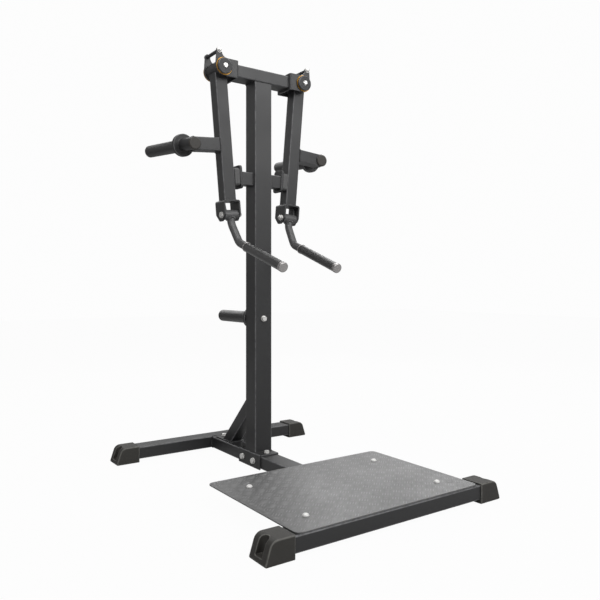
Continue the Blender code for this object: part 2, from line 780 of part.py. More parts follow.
def bracket_side_outline():
    """A flange seen from the front: a full round about the pivot, and an ear above it."""
    web = BRACKET_WEB_X - PIVOT_X
    ear = (EAR_OUT, EAR_UP)
    apart = math.hypot(*ear)
    lean = math.degrees(math.atan2(EAR_UP, EAR_OUT))
    tangent = lean - math.degrees(math.acos((BRACKET_HALF_HEIGHT - EAR_RADIUS) / apart))
    fillet_up = BRACKET_HALF_HEIGHT + EAR_FILLET
    rise = EAR_UP - fillet_up
    fillet_out = EAR_OUT - math.sqrt((EAR_RADIUS + EAR_FILLET) ** 2 - rise**2)
    meet = math.degrees(math.asin(rise / (EAR_RADIUS + EAR_FILLET)))
    return (
        [(web, -BRACKET_HALF_HEIGHT)]
        + arc((0, 0), BRACKET_HALF_HEIGHT, -90, tangent, 6)
        + arc(ear, EAR_RADIUS, tangent, 180 + meet, 5)
        + arc((fillet_out, fillet_up), EAR_FILLET, meet, -90, 4)
        + [(web, BRACKET_HALF_HEIGHT)]
    )


def pivot_bracket(side):
    """A bent plate, open outwards, whose two flanges hold the arm's pivot and its upper stop."""
    side_name = SIDE_NAMES[side]
    name = f"pivot_bracket_{side_name}"
    where = (side * PIVOT_X, POST_Y, PIVOT_Z)
    bracket = extruded(name, sided(bracket_side_outline(), side), 2 * BRACKET_HALF_DEPTH + 0.01)
    place(bracket, where, DEPTH_ALONG_Y)
    web = BRACKET_WEB_X - PIVOT_X
    inner_web = web + BRACKET_PLATE
    outer, inner = BRACKET_HALF_DEPTH, BRACKET_HALF_DEPTH - BRACKET_PLATE
    tip = BRACKET_HALF_HEIGHT + 0.01
    corners = [
        (web, -outer),
        (tip, -outer),
        (tip, -inner),
        (inner_web, -inner),
        (inner_web, inner),
        (tip, inner),
        (tip, outer),
        (web, outer),
    ]
    radii = [BRACKET_BEND, 0, 0, 0.003, 0.003, 0, 0, BRACKET_BEND]
    channel = extruded(name + "_channel", sided(rounded(corners, radii), side), 0.3)
    combine(bracket, place(channel, where), "INTERSECT")
    bore = cylinder(name + "_bore", BUSH_BARREL_RADIUS + GAP, THROUGH)
    cut(bracket, place(bore, where, AXIS_REAR))
    ear = (side * (PIVOT_X + EAR_OUT), POST_Y, PIVOT_Z + EAR_UP)
    ear_hole = STOP_BOLT_RADIUS + 0.0004
    cut(bracket, bolt_hole(name + "_ear_hole", ear_hole, THROUGH, ear, AXIS_REAR))
    as_piece(bracket, "powder_coat")
    rod = stop_rod(f"stop_rod_{side_name}")
    as_piece(place(rod, ear, AXIS_FRONT), "blackened_steel")
    for end_name, turn in (("front", AXIS_FRONT), ("rear", AXIS_REAR)):
        bush = place(pivot_bush(f"pivot_bush_{end_name}_{side_name}"), where, turn)
        as_piece(bush, "bronze")


def stop_rod(name):
    """The arm's upper stop, along Z: a spacer between the ears, and a head outside each."""
    inner = BRACKET_HALF_DEPTH - BRACKET_PLATE - GAP
    outer = BRACKET_HALF_DEPTH + GAP
    edge = 0.001
    profile = [
        (0, outer + STOP_HEAD),
        (STOP_HEAD_RADIUS - edge, outer + STOP_HEAD),
        (STOP_HEAD_RADIUS, outer + STOP_HEAD - edge),
        (STOP_HEAD_RADIUS, outer),
        (STOP_BOLT_RADIUS, outer),
        (STOP_BOLT_RADIUS, inner),
        (STOP_ROD_RADIUS, inner),
        (STOP_ROD_RADIUS, -inner),
        (STOP_BOLT_RADIUS, -inner),
        (STOP_BOLT_RADIUS, -outer),
        (STOP_HEAD_RADIUS, -outer),
        (STOP_HEAD_RADIUS, -outer - STOP_HEAD),
        (0, -outer - STOP_HEAD),
    ]
    return turned(name, profile, SMALL_ROUND)


def pivot_bush(name):
    """A flanged bush along Z, its flange on the outside of the bracket."""
    bore = bore_radius(PIN_RADIUS)
    flange = BRACKET_HALF_DEPTH + GAP
    inner = BRACKET_HALF_DEPTH - BRACKET_PLATE
    profile = [
        (BUSH_FLANGE_RADIUS, flange + BUSH_FLANGE),
        (BUSH_FLANGE_RADIUS, flange),
        (BUSH_BARREL_RADIUS, flange),
        (BUSH_BARREL_RADIUS, inner),
        (bore, inner),
        (bore, flange + BUSH_FLANGE),
    ]
    return turned(name, profile)


def pivot_pin(name):
    """The arm's pin along Z, front upwards: a disc and a bolt head at each end."""
    disc = BRACKET_HALF_DEPTH + BUSH_FLANGE + 2 * GAP
    edge = 0.005
    front, rear = disc + FRONT_DISC, -disc - REAR_DISC
    rim = arc((FRONT_DISC_RADIUS - edge, front - edge), edge, 90, 0, 3)
    profile = [
        (0, front + PIN_FRONT_HEAD),
        (PIN_HEAD_RADIUS, front + PIN_FRONT_HEAD),
        (PIN_HEAD_RADIUS, front),
        *rim,
        (FRONT_DISC_RADIUS, disc),
        (PIN_RADIUS, disc),
        (PIN_RADIUS, -disc),
        (REAR_DISC_RADIUS, -disc),
        (REAR_DISC_RADIUS, rear),
        (PIN_HEAD_RADIUS, rear),
        (PIN_HEAD_RADIUS, rear - PIN_REAR_HEAD),
        (0, rear - PIN_REAR_HEAD),
    ]
    return turned(name, profile)


# Arms, each under an empty on its pivot whose -Z runs down the arm


def arm_frame(side, name):
    return empty(name, (side * PIVOT_X, POST_Y, PIVOT_Z), (0, side * ARM_TILT, 0))


def arm_tube(side, frame):
    """The swinging tube with the hub it is welded to."""
    name = f"arm_tube_{SIDE_NAMES[side]}"
    start = (HUB_RADIUS + PIN_RADIUS) / 2
    outline = rectangle(ARM_TUBE, ARM_TUBE, ARM_CORNER)
    tube = extruded(name, outline, ARM_LENGTH - start)
    place(tube, (0, 0, -(start + ARM_LENGTH) / 2), parent=frame)
    hub = cylinder(name + "_hub", HUB_RADIUS, 2 * HUB_HALF_LENGTH)
    join(tube, place(hub, (0, 0, 0), AXIS_REAR, frame))
    inside = ARM_TUBE - 2 * TUBE_WALL
    hollow = extruded(name + "_hollow", rectangle(inside, inside, 0.002), ARM_LENGTH)
    place(hollow, (0, 0, -(HUB_RADIUS + 0.002 + ARM_LENGTH / 2)), parent=frame)
    cut(tube, hollow)
    bore = cylinder(name + "_bore", PIN_RADIUS + GAP, THROUGH)
    cut(tube, place(bore, (0, 0, 0), AXIS_REAR, frame))
    pin = place(pivot_pin(f"pivot_pin_{SIDE_NAMES[side]}"), (0, 0, 0), AXIS_FRONT, frame)
    as_piece(pin, "blackened_steel")
    return as_piece(tube, "powder_coat")


def weight_horn(side, frame):
    """The outrigger tube and the plate horn at its end, which rises and splays to the rear."""
    side_name = SIDE_NAMES[side]
    turn = (-math.pi / 2 + WEIGHT_HORN_RISE, 0, -side * WEIGHT_HORN_SPLAY)
    front = (side * WEIGHT_HORN_OUT, WEIGHT_HORN_FRONT_Y, -WEIGHT_HORN_DOWN)
    axis = empty(f"weight_horn_axis_{side_name}", front, turn, frame)
    tube_length = WEIGHT_HORN_LENGTH - 2 * HORN_CAP_LENGTH
    collar = WEIGHT_HORN_COLLAR - HORN_CAP_LENGTH
    horn = horn_tube(f"weight_horn_{side_name}", tube_length, collar)
    as_piece(place(horn, (0, 0, HORN_CAP_LENGTH), parent=axis), "powder_coat")
    rear_cap = horn_cap(f"horn_cap_rear_{side_name}")
    place(rear_cap, (0, 0, HORN_CAP_LENGTH + tube_length), parent=axis)
    front_cap = horn_cap(f"horn_cap_front_{side_name}")
    place(front_cap, (0, 0, HORN_CAP_LENGTH), (math.pi, 0, 0), axis)
    as_piece(rear_cap, "cap_plastic")
    as_piece(front_cap, "cap_plastic")
    start = ARM_TUBE / 2 + GAP
    end = WEIGHT_HORN_OUT + OUTRIGGER_LAP
    outrigger = tube_section(
        f"outrigger_tube_{side_name}", ARM_TUBE, ARM_TUBE, ARM_CORNER, end - start
    )
    place(outrigger, (side * (start + end) / 2, 0, -OUTRIGGER_DOWN), DEPTH_ALONG_X, frame)
    cope = cylinder(f"outrigger_cope_{side_name}", HORN_RADIUS + GAP, 2 * WEIGHT_HORN_LENGTH)
    cut(outrigger, place(cope, (0, 0, 0), parent=axis))
    return as_piece(outrigger, "powder_coat")


def clevis(side, frame):
    """A bent plate under the arm's end, between whose cheeks the handle's sleeve turns."""
    side_name = SIDE_NAMES[side]
    name = f"clevis_{side_name}"
    top = -(ARM_LENGTH + GAP)
    outer, inner = CLEVIS_HALF_WIDTH, CLEVIS_HALF_WIDTH - CLEVIS_PLATE
    corners = [
        (outer, -CLEVIS_END),
        (outer, top),
        (-outer, top),
        (-outer, -CLEVIS_END),
        (-inner, -CLEVIS_END),
        (-inner, top - CLEVIS_PLATE),
        (inner, top - CLEVIS_PLATE),
        (inner, -CLEVIS_END),
    ]
    radii = [0, CLEVIS_BEND, CLEVIS_BEND, 0, 0, 0.002, 0.002, 0]
    piece = extruded(name, rounded(corners, radii), 2 * CLEVIS_HALF_DEPTH + 0.01)
    place(piece, (0, 0, 0), DEPTH_ALONG_Y, frame)
    deep = CLEVIS_HALF_DEPTH
    low = CLEVIS_CHAMFER
    cheek = [
        (-deep, -CLEVIS_END + low),
        (-deep + low, -CLEVIS_END),
        (deep - low, -CLEVIS_END),
        (deep, -CLEVIS_END + low),
        (deep, top + 0.01),
        (-deep, top + 0.01),
    ]
    cheeks = extruded(name + "_cheeks", rounded(cheek, [0.004] * 4 + [0, 0], 2), THROUGH)
    combine(piece, place(cheeks, (0, 0, 0), DEPTH_ALONG_X, frame), "INTERSECT")
    where = (0, HANDLE_PIVOT_Y, -HANDLE_PIVOT_DOWN)
    radius = HANDLE_BOLT_RADIUS + GAP
    hole = bolt_hole(name + "_hole", radius, THROUGH, where, AXIS_RIGHT, frame)
    cut(piece, hole)
    bolt = place(clevis_bolt(f"clevis_bolt_{side_name}"), where, AXIS_RIGHT, frame)
    if side == RIGHT:
        bolt.rotation_euler = AXIS_LEFT
    as_piece(bolt, "zinc")
    return as_piece(piece, "powder_coat")


def clevis_bolt(name):
    """The handle's bolt along Z, its domed nut upwards, which points to the machine's middle."""
    face = CLEVIS_HALF_WIDTH + GAP
    skirt = 0.003  # the straight part under the nut's dome
    dome = [
        (NUT_RADIUS * math.sin(a), face + skirt + (NUT_HEIGHT - skirt) * math.cos(a))
        for a in [math.pi / 2 * i / 3 for i in range(4)]
    ]
    head = -face - CLEVIS_BOLT_HEAD
    profile = dome + [
        (NUT_RADIUS, face),
        (HANDLE_BOLT_RADIUS, face),
        (HANDLE_BOLT_RADIUS, -face),
        (NUT_RADIUS, -face),
        (NUT_RADIUS, head + 0.002),
        (NUT_RADIUS - 0.002, head),
        (0, head),
    ]
    return turned(name, profile, SMALL_ROUND)


def handle(side, frame):
    """The bent handle: a sleeve on the clevis bolt, a rod, and a grip with its end trim."""
    side_name = SIDE_NAMES[side]
    where = (0, HANDLE_PIVOT_Y, -HANDLE_PIVOT_DOWN)
    pivot = empty(f"handle_pivot_{side_name}", where, (0, 0, 0), frame)
    length = RING_LENGTH + GRIP_LENGTH + 2 * GAP
    along = Vector((math.cos(GRIP_SLOPE), math.sin(GRIP_SLOPE)))
    knee = Vector(GRIP_START) - along * ROD_KNEE
    end = Vector(GRIP_START) + along * length
    straights = [*ROD_START, tuple(knee), tuple(end)]
    spots = [straights[0]]
    for i, bend in enumerate(ROD_BENDS):
        spots += rounded_corner(straights[i], straights[i + 1], straights[i + 2], bend, 4)
    spots.append(straights[-1])
    path = [(0, -forward, -down) for forward, down in spots]
    rod = bar(f"handle_rod_{side_name}", path, ROD_RADIUS, 4)
    place(rod, (0, 0, 0), parent=pivot)
    sleeve = cylinder(f"handle_sleeve_{side_name}", SLEEVE_RADIUS, 2 * SLEEVE_HALF_LENGTH, 16)
    join(rod, place(sleeve, (0, 0, 0), AXIS_RIGHT, pivot))
    lug_top = HANDLE_PIVOT_DOWN - ARM_LENGTH - CLEVIS_PLATE - 2 * GAP
    lug_corners = [(-0.010, 0), (0.0, lug_top), (0.014, lug_top), (0.013, 0)]
    lug_outline = rounded(lug_corners, [0, 0, 0.004, 0])
    lug = extruded(f"handle_lug_{side_name}", lug_outline, LUG_THICKNESS)
    lug_x = side * (SLEEVE_HALF_LENGTH - LUG_THICKNESS / 2 - LUG_INSET)
    join(rod, place(lug, (lug_x, 0, 0), DEPTH_ALONG_X, pivot))
    bore_corner = bore_radius(HANDLE_BOLT_RADIUS, SMALL_ROUND)
    bore = cylinder(f"handle_bore_{side_name}", bore_corner, 0.1, SMALL_ROUND)
    cut(rod, place(bore, (0, 0, 0), AXIS_RIGHT, pivot))
    as_piece(rod, "powder_coat")

    turn = (math.pi / 2 + GRIP_SLOPE, 0, 0)
    start = (0, -GRIP_START[0], -GRIP_START[1])
    grip_axis = empty(f"grip_axis_{side_name}", start, turn, pivot)
    end_hole = cylinder(f"rod_end_hole_{side_name}", CAP_SPIGOT_RADIUS + GAP, 0.03, SMALL_ROUND)
    cut(rod, place(end_hole, (0, 0, length), parent=grip_axis))
    bore = ROD_RADIUS + GAP
    ring = turned(
        f"grip_ring_{side_name}",
        [
            (RING_RADIUS - 0.001, RING_LENGTH),
            (RING_RADIUS, RING_LENGTH - 0.001),
            (RING_RADIUS, 0.001),
            (RING_RADIUS - 0.001, 0),
            (bore, 0),
            (bore, RING_LENGTH),
        ],
    )
    as_piece(place(ring, (0, 0, 0), parent=grip_axis), "aluminium")
    grip = turned(
        f"hand_grip_{side_name}",
        [(GRIP_RADIUS, GRIP_LENGTH), (GRIP_RADIUS, 0), (bore, 0), (bore, GRIP_LENGTH)],
    )
    as_piece(place(grip, (0, 0, RING_LENGTH + GAP), parent=grip_axis), "grip_rubber")
    edge = 0.003
    cap_edge = arc((GRIP_CAP_RADIUS - edge, GRIP_CAP_LENGTH - edge), edge, 90, 0, 2)
    cap = turned(
        f"grip_end_cap_{side_name}",
        [(0, GRIP_CAP_LENGTH)]
        + cap_edge
        + [
            (GRIP_CAP_RADIUS, 0),
            (CAP_SPIGOT_RADIUS, 0),
            (CAP_SPIGOT_RADIUS, -CAP_SPIGOT_LENGTH),
            (0, -CAP_SPIGOT_LENGTH),
        ],
    )
    as_piece(place(cap, (0, 0, length + GAP), parent=grip_axis), "aluminium")
    return rod


# Stop bar


def stop_bar():
    """A bar through the post, with a plate at each end, and the buffers that the arms rest on."""
    length = 2 * STOP_BAR_HALF_LENGTH
    tube = tube_section("stop_crossbar", STOP_BAR_SIZE, STOP_BAR_SIZE, ARM_CORNER, length)
    place(tube, (0, POST_Y, STOP_BAR_Z), DEPTH_ALONG_X)
    down = (PIVOT_Z - STOP_BAR_Z) / math.cos(ARM_TILT)
    block_face = ARM_TUBE / 2 + GAP
    plate_face = block_face + STOP_BLOCK_THICKNESS + GAP
    for side, side_name in SIDE_NAMES.items():
        rest = arm_frame(side, f"stop_frame_{side_name}")
        plate = extruded(
            f"stop_plate_{side_name}",
            rectangle(STOP_PLATE_DEPTH, STOP_PLATE_HEIGHT, STOP_PLATE_CORNER, 3),
            STOP_PLATE_THICKNESS,
        )
        x = -side * (plate_face + STOP_PLATE_THICKNESS / 2)
        join(tube, place(plate, (x, 0, -down), DEPTH_ALONG_X, rest))
        hole_name = f"stop_plate_hole_{side_name}"
        where = (x, 0, -down)
        cut(tube, bolt_hole(hole_name, STOP_BOLT_RADIUS + 0.0005, 0.03, where, AXIS_RIGHT, rest))
        buffer = extruded(
            f"stop_block_{side_name}",
            rectangle(STOP_BLOCK_DEPTH, STOP_BLOCK_HEIGHT, STOP_BLOCK_CORNER, 3),
            STOP_BLOCK_THICKNESS,
        )
        x = -side * (block_face + STOP_BLOCK_THICKNESS / 2)
        soften(place(buffer, (x, 0, -down), DEPTH_ALONG_X, rest), 0.002)
        as_piece(buffer, "buffer_rubber")
    return as_piece(tube, "powder_coat")


def build():
    clear_scene()
    new_collection(OBJECT_NAME)
    new_collection("cutters")
    cross_tube("front_cross_tube", FRONT_HALF_SPAN, FRONT_TUBE_Y)
    cross_tube("rear_cross_tube", REAR_HALF_SPAN, REAR_TUBE_Y)
    for side, side_name in SIDE_NAMES.items():
        foot(f"foot_front_{side_name}", side, FRONT_HALF_SPAN, FRONT_TUBE_Y)
        foot(f"foot_rear_{side_name}", side, REAR_HALF_SPAN, REAR_TUBE_Y)
    spine_tube()
    platform()
    post_saddle()
    post()
    rear_brace()
    storage_horn()
    top_beam()
    stop_bar()
    for side, side_name in SIDE_NAMES.items():
        pivot_bracket(side)
        frame = arm_frame(side, f"arm_pivot_{side_name}")
        arm_tube(side, frame)
        weight_horn(side, frame)
        clevis(side, frame)
        handle(side, frame)
    for thing in bpy.data.collections[OBJECT_NAME].objects:
        if thing.type == "MESH" and thing.data.polygons:
            shade_round(thing.data)


build()
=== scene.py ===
"""The looks of a standing lateral raise machine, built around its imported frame.

The file is laid out as an add-on and run as a script. Metres, +Z up, the platform towards -Y.
Left is the -X side, as seen from in front of the platform.
"""

import json
import math

import bpy
import numpy as np
from bpy.props import FloatProperty, FloatVectorProperty, PointerProperty
from bpy.types import Operator, Panel, PropertyGroup
from mathutils import Euler, Matrix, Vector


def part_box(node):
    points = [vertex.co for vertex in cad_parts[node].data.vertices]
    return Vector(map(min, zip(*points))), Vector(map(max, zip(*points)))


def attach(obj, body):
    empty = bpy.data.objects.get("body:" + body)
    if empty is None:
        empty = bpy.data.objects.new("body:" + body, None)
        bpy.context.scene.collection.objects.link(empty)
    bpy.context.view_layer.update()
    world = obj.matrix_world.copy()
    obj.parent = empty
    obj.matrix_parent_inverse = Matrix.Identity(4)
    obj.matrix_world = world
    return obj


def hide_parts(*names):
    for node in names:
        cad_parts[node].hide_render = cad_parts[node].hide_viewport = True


bl_info = {
    "name": "Lateral raise machine",
    "version": (1, 0, 0),
    "blender": (4, 5, 0),
    "location": "3D View > Sidebar > Machine",
    "description": "Builds the visible surfaces of a standing lateral raise machine",
    "category": "Object",
}

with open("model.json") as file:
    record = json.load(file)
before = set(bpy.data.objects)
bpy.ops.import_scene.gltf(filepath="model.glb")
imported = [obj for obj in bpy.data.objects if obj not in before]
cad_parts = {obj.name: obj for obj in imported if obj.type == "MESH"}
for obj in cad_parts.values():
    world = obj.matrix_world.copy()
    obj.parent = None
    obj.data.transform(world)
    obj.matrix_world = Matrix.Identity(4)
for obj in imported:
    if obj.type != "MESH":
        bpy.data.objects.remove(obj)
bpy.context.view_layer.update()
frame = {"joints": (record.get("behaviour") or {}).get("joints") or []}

# Fits, how far a cutter or a trimmed outline runs past what it cuts, and how deep a bolt's
# shank sinks into its head
GAP = 0.0003
BUSH_FIT = 0.0002
CUTTER_REACH = 0.1
FOOT_CUTTER_PAST = 0.02
TRIM_PAST = 0.01
SHANK_SINK = 0.001
LEFT, RIGHT = -1, 1
SIDE_NAMES = {LEFT: "left", RIGHT: "right"}
ROOT = "root"

# Places that the frame gives
SPINE_LOW, SPINE_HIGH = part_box("spine_tube")
POST_LOW, POST_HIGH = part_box("upright_post")
POST_Y = (POST_LOW[1] + POST_HIGH[1]) / 2
PIVOTS = {
    side: next(j for j in frame["joints"] if j["name"] == f"{name}_arm_swing")["pos_m"]
    for side, name in SIDE_NAMES.items()
}
PIVOT_X, PIVOT_Z = abs(PIVOTS[RIGHT][0]), PIVOTS[RIGHT][2]

# Base frame
BASE_TUBE_WIDTH = 0.075
BASE_TUBE_HEIGHT = 0.048
BASE_TUBE_BOTTOM = 0.013
BASE_TUBE_TOP = BASE_TUBE_BOTTOM + BASE_TUBE_HEIGHT
BASE_TUBE_MIDDLE = BASE_TUBE_BOTTOM + BASE_TUBE_HEIGHT / 2
TUBE_WALL = 0.003
TUBE_CORNER = 0.005
FRONT_TUBE_Y = POST_Y - 0.7607
REAR_TUBE_Y = POST_Y + 0.3692
FRONT_HALF_SPAN = 0.4618
REAR_HALF_SPAN = 0.4569
CROSS_TUBES = {"front": (FRONT_HALF_SPAN, FRONT_TUBE_Y), "rear": (REAR_HALF_SPAN, REAR_TUBE_Y)}
PLATE_BOTTOM = BASE_TUBE_TOP + GAP

# Rubber feet
FOOT_LENGTH = 0.095
FOOT_WIDTH = 0.086
FOOT_HEIGHT = 0.066
FOOT_END_SLOPE = 0.33
FOOT_TOP_CORNER = 0.026
FOOT_TOE_CORNER = 0.005
FOOT_EDGE = 0.004
FOOT_POCKET_END = 0.045
FOOT_RECESS_RADIUS = 0.017
FOOT_RECESS_REACH = 0.020
FOOT_RECESS_FLOOR = 0.016
FOOT_RECESS_CUT = 0.08
FOOT_SMOOTHING = 6

# Standing platform
PLATFORM_HALF_WIDTH = 0.358
PLATFORM_FRONT = POST_Y - 0.7956
PLATFORM_REAR = POST_Y - 0.2716
PLATFORM_THICKNESS = 0.0045
PLATFORM_CORNER = 0.020
PLATFORM_BOLT_X = 0.265
PLATFORM_BOLT_Y = {"front": POST_Y - 0.702, "rear": POST_Y - 0.385}
PLATFORM_BOLT_HEAD = (0.0105, 0.0075)
PLATFORM_BOLT_STEM = (0.005, 0.0155)
PLATFORM_BOLT_POLE = 0.0003
BEARER_SIZE = 0.040
BEARER_REAR = POST_Y - 0.364
BEARER_PLUG_GAP = 0.0005
THIN_RIM = 0.0008

# Tread: sides of a bar, how far a bar narrows and sinks, and the bare margins
BAR_SIDES = 10
BARS_IN_CELL = 4
BAR_PINCH = 0.35
BAR_SINK = 0.0004
BAR_RINGS = ((1.0, 1.0), (0.93, 0.72), (0.82, 0.35))
BAR_SHOULDER = 0.72
TREAD_LEAN = math.pi / 4
TREAD_CELLS = 40
TREAD_MARGIN = 0.007
TREAD_BOLT_MARGIN = 0.016

# Post and its saddle
POST_SIZE = 0.075
POST_CORNER = 0.004
SADDLE_THICKNESS = 0.005
SADDLE_TOP = PLATE_BOTTOM + SADDLE_THICKNESS
SADDLE_BEND = 0.0045
SADDLE_INNER_BEND = 0.0012
SADDLE_CUT = 0.0008
SADDLE_RIM = 0.0007
SADDLE_SIDE_BOTTOM = 0.010
SADDLE_REAR = POST_Y + 0.084
SADDLE_SIDE_FRONT = POST_Y - 0.078
SADDLE_FRONT = POST_Y - 0.084
SADDLE_BOLT_Y = {"front": POST_Y - 0.033, "rear": POST_Y + 0.050}
SADDLE_BOLT_Z = 0.037
SADDLE_FLANGE_BOLT_Y = POST_Y - 0.061
FLANGE_HALF_WIDTH = 0.038
FLANGE_CORNER = 0.010
HEEL_HALF_WIDTH = 0.030
HEEL_HEIGHT = 0.022
HEEL_SINK = 0.002
HEEL_REAR_STEP = 0.002
HEEL_CORNER = 0.004
HEEL_EDGE = 0.0035
BRACE_SIZE = 0.050
BRACE_CORNER = 0.004
BRACE_SOLE_WIDTH = 0.064
BRACE_SOLE_CORNER = 0.008
BRACE_POST_HEIGHT = 0.245
BRACE_PLATE_FRONT = POST_Y + 0.172
BRACE_PLATE_REAR = POST_Y + 0.312
BRACE_BOLT_Y = POST_Y + 0.290

# Plate horns
STORAGE_HORN_Z = 0.586
STORAGE_HORN_END = 0.2625
HORN_RADIUS = 0.024
HORN_WALL = 0.003
COLLAR_RADIUS = 0.0425
COLLAR_THICKNESS = 0.018
COLLAR_EDGE = 0.0022
COLLAR_FILLET = 0.0035
HORN_BASE_HOLE = 0.0064
HORN_BASE_THICKNESS = 0.012
HORN_CAP_LENGTH = 0.009
HORN_CAP_EDGE = 0.005
HORN_CAP_SPIGOT = 0.014
HORN_CAP_POLE = 0.0005
WEIGHT_HORN_OUT = 0.1325
WEIGHT_HORN_DOWN = 0.2866
WEIGHT_HORN_FRONT_Y = -0.0343
WEIGHT_HORN_LENGTH = 0.382
WEIGHT_HORN_COLLAR = 0.089
WEIGHT_HORN_RISE = math.radians(4.63)
WEIGHT_HORN_SPLAY = math.radians(3.21)

# Top beam, brackets and pivots
ARM_TILT = math.radians(4.9)
BEAM_HEIGHT = 0.047
BRACKET_WEB_X = 0.1167
BRACKET_PLATE = 0.007
BRACKET_HALF_DEPTH = 0.051
BRACKET_HALF_HEIGHT = 0.033
BRACKET_BEND = 0.009
BRACKET_INNER_BEND = 0.003
EAR_OUT = 0.019
EAR_UP = 0.0575
EAR_RADIUS = 0.0106
EAR_FILLET = 0.023
STOP_ROD_RADIUS = 0.00675
STOP_ROD_STEM = 0.004
STOP_ROD_HOLE = 0.0044
STOP_ROD_EDGE = 0.0004
STOP_ROD_HEAD = (0.0095, 0.007)
STOP_ROD_HEAD_EDGE = 0.0016
STOP_NUT_WASHER = (0.0100, 0.0016)
STOP_NUT_WASHER_EDGE = 0.0005
STOP_NUT_DOME = (0.0086, 0.0062)
STOP_NUT_DOME_START = 0.0014
PIN_RADIUS = 0.020
BUSH_BARREL_RADIUS = 0.023
BUSH_FLANGE_RADIUS = 0.0325
BUSH_FLANGE = 0.0045
BUSH_EDGE = 0.0005
FRONT_DISC_RADIUS = 0.0305
FRONT_DISC = 0.0085
FRONT_DISC_EDGE = 0.0055
FRONT_DISC_CHAMFER = 0.0006
REAR_DISC_RADIUS = 0.026
REAR_DISC = 0.004
REAR_DISC_EDGE = 0.0012
REAR_DISC_CHAMFER = 0.0005
DISC_DISH = 0.0012
DISC_DISH_RADII = (0.0105, 0.0118)

# Arms, stop bar, clevises and handles
ARM_TUBE = 0.050
ARM_CORNER = 0.004
HUB_RADIUS = 0.0285
HUB_HALF_LENGTH = 0.0435
HUB_EDGE = 0.0009
HUB_COPE = HUB_RADIUS - 0.0008
HORN_COPE = HORN_RADIUS - 0.0006
ARM_LENGTH = 0.494
OUTRIGGER_DOWN = 0.285
STOP_BAR_Z = 1.129
STOP_BAR_SIZE = 0.050
STOP_PLATE_THICKNESS = 0.009
STOP_PLATE_HEIGHT = 0.089
STOP_PLATE_DEPTH = 0.060
STOP_PLATE_CORNER = 0.012
STOP_PLATE_RIM = 0.0012
STOP_BLOCK_THICKNESS = 0.023
STOP_BLOCK_HEIGHT = 0.067
STOP_BLOCK_DEPTH = 0.056
STOP_BLOCK_CORNER = 0.010
STOP_BLOCK_EDGE = 0.0028
CLEVIS_PLATE = 0.006
CLEVIS_HALF_WIDTH = 0.035
CLEVIS_HALF_DEPTH = 0.036
CLEVIS_END = 0.573
CLEVIS_CHAMFER = 0.025
CLEVIS_BEND = 0.009
CLEVIS_INNER_BEND = 0.002
CLEVIS_CHEEK_CORNER = 0.005
HANDLE_PIVOT_DOWN = 0.5495
HANDLE_PIVOT_Y = -0.012
HANDLE_BOLT_RADIUS = 0.005
CLEVIS_WASHER_RADIUS = 0.0125
SLEEVE_RADIUS = 0.019
SLEEVE_HALF_LENGTH = 0.0284
ROD_RADIUS = 0.015
LUG_THICKNESS = 0.008
LUG_INSET = 0.003
LUG_LENGTH = 0.014
LUG_ROOT = ((-0.0105, 0.0085), (0.0135, 0.0065), (0.0075, 0.0075), (0, 0.0095))
LUG_CUT = 0.0004
LUG_TOP_FRONT = 0.0005
LUG_TOP_REAR = 0.004
ROD_ROOT = ((0.0066, 0.0128), (0.0085, 0.0138), (0.011, ROD_RADIUS))
ROD_START = ((0.0, 0.003), (0.006, 0.0375))
ROD_BENDS = (0.060, 0.045)
GRIP_START = (0.1066, 0.1275)
ROD_KNEE = 0.0555
GRIP_SLOPE = math.radians(18.8)
GRIP_RADIUS = 0.0174
GRIP_LENGTH = 0.234
GRIP_EDGE = 0.0010
RING_RADIUS = 0.0190
RING_LENGTH = 0.006
RING_EDGE = 0.0009
GRIP_CAP_RADIUS = 0.0181
GRIP_CAP_LENGTH = 0.014
GRIP_CAP_EDGE = 0.0030
GRIP_CAP_REAR_EDGE = 0.0006
GRIP_CAP_GROOVE = 0.0018
GRIP_CAP_GROOVE_DEPTH = 0.0009
GRIP_CAP_GROOVE_SLOPE = 0.0004

# Fasteners: a head is its washer's radius, its width across flats and its height; a cap nut is
# its washer's radius, its width across flats, its hexagon's height and its whole height
POLE = 0.001
WASHER = 0.0018
WASHER_EDGE = 0.0004
SHANK_EDGE = 0.0005
HEAD_FACE = 0.47
HEAD_CONE = math.radians(30)
SADDLE_HEAD = (0.0118, 0.019, 0.008)
SADDLE_SHANK = 0.006
SADDLE_SHANK_PAST = 0.018
HORN_SHANK_PAST = 0.016
FLANGE_HEAD = (0.0105, 0.017, 0.0075)
FLANGE_SHANK = 0.005
FLANGE_SHANK_LENGTH = 0.016
PIN_FRONT_HEAD = (0.0092, 0.0152, 0.0039)
PIN_REAR_HEAD = (0.0088, 0.0150, 0.0042)
CLEVIS_HEAD = (CLEVIS_WASHER_RADIUS, 0.0205, 0.0052)
CLEVIS_NUT = (CLEVIS_WASHER_RADIUS, 0.0212, 0.0045, 0.013)
CAP_NUT_WASHER = 0.0012
CAP_NUT_WASHER_EDGE = 0.0003
CAP_NUT_DOME = 0.46

# Turns that lay a shape's Z along a direction
DEPTH_ALONG_X = (math.pi / 2, 0, math.pi / 2)
DEPTH_ALONG_Y = (math.pi / 2, 0, 0)
AXIS_FRONT = (math.pi / 2, 0, 0)
AXIS_REAR = (-math.pi / 2, 0, 0)
AXIS_RIGHT = (0, math.pi / 2, 0)
AXIS_LEFT = (0, -math.pi / 2, 0)
TURNED_BACK = (math.pi, 0, 0)

# How tightly a surface bends, in 1 / m, where the painted rim highlight starts to show, and where it
# is full
RIM_BEND_START = 90
RIM_BEND_FULL = 210

# Stage: levels of the backdrop and the floor as the camera sees them and as gloss mirrors them
BACKDROP = 0.98
FLOOR_SEEN, FLOOR_MIRRORED = 0.97, 0.12
FLOOR_TONE = 0.45
FLOOR_REACH = 12.0

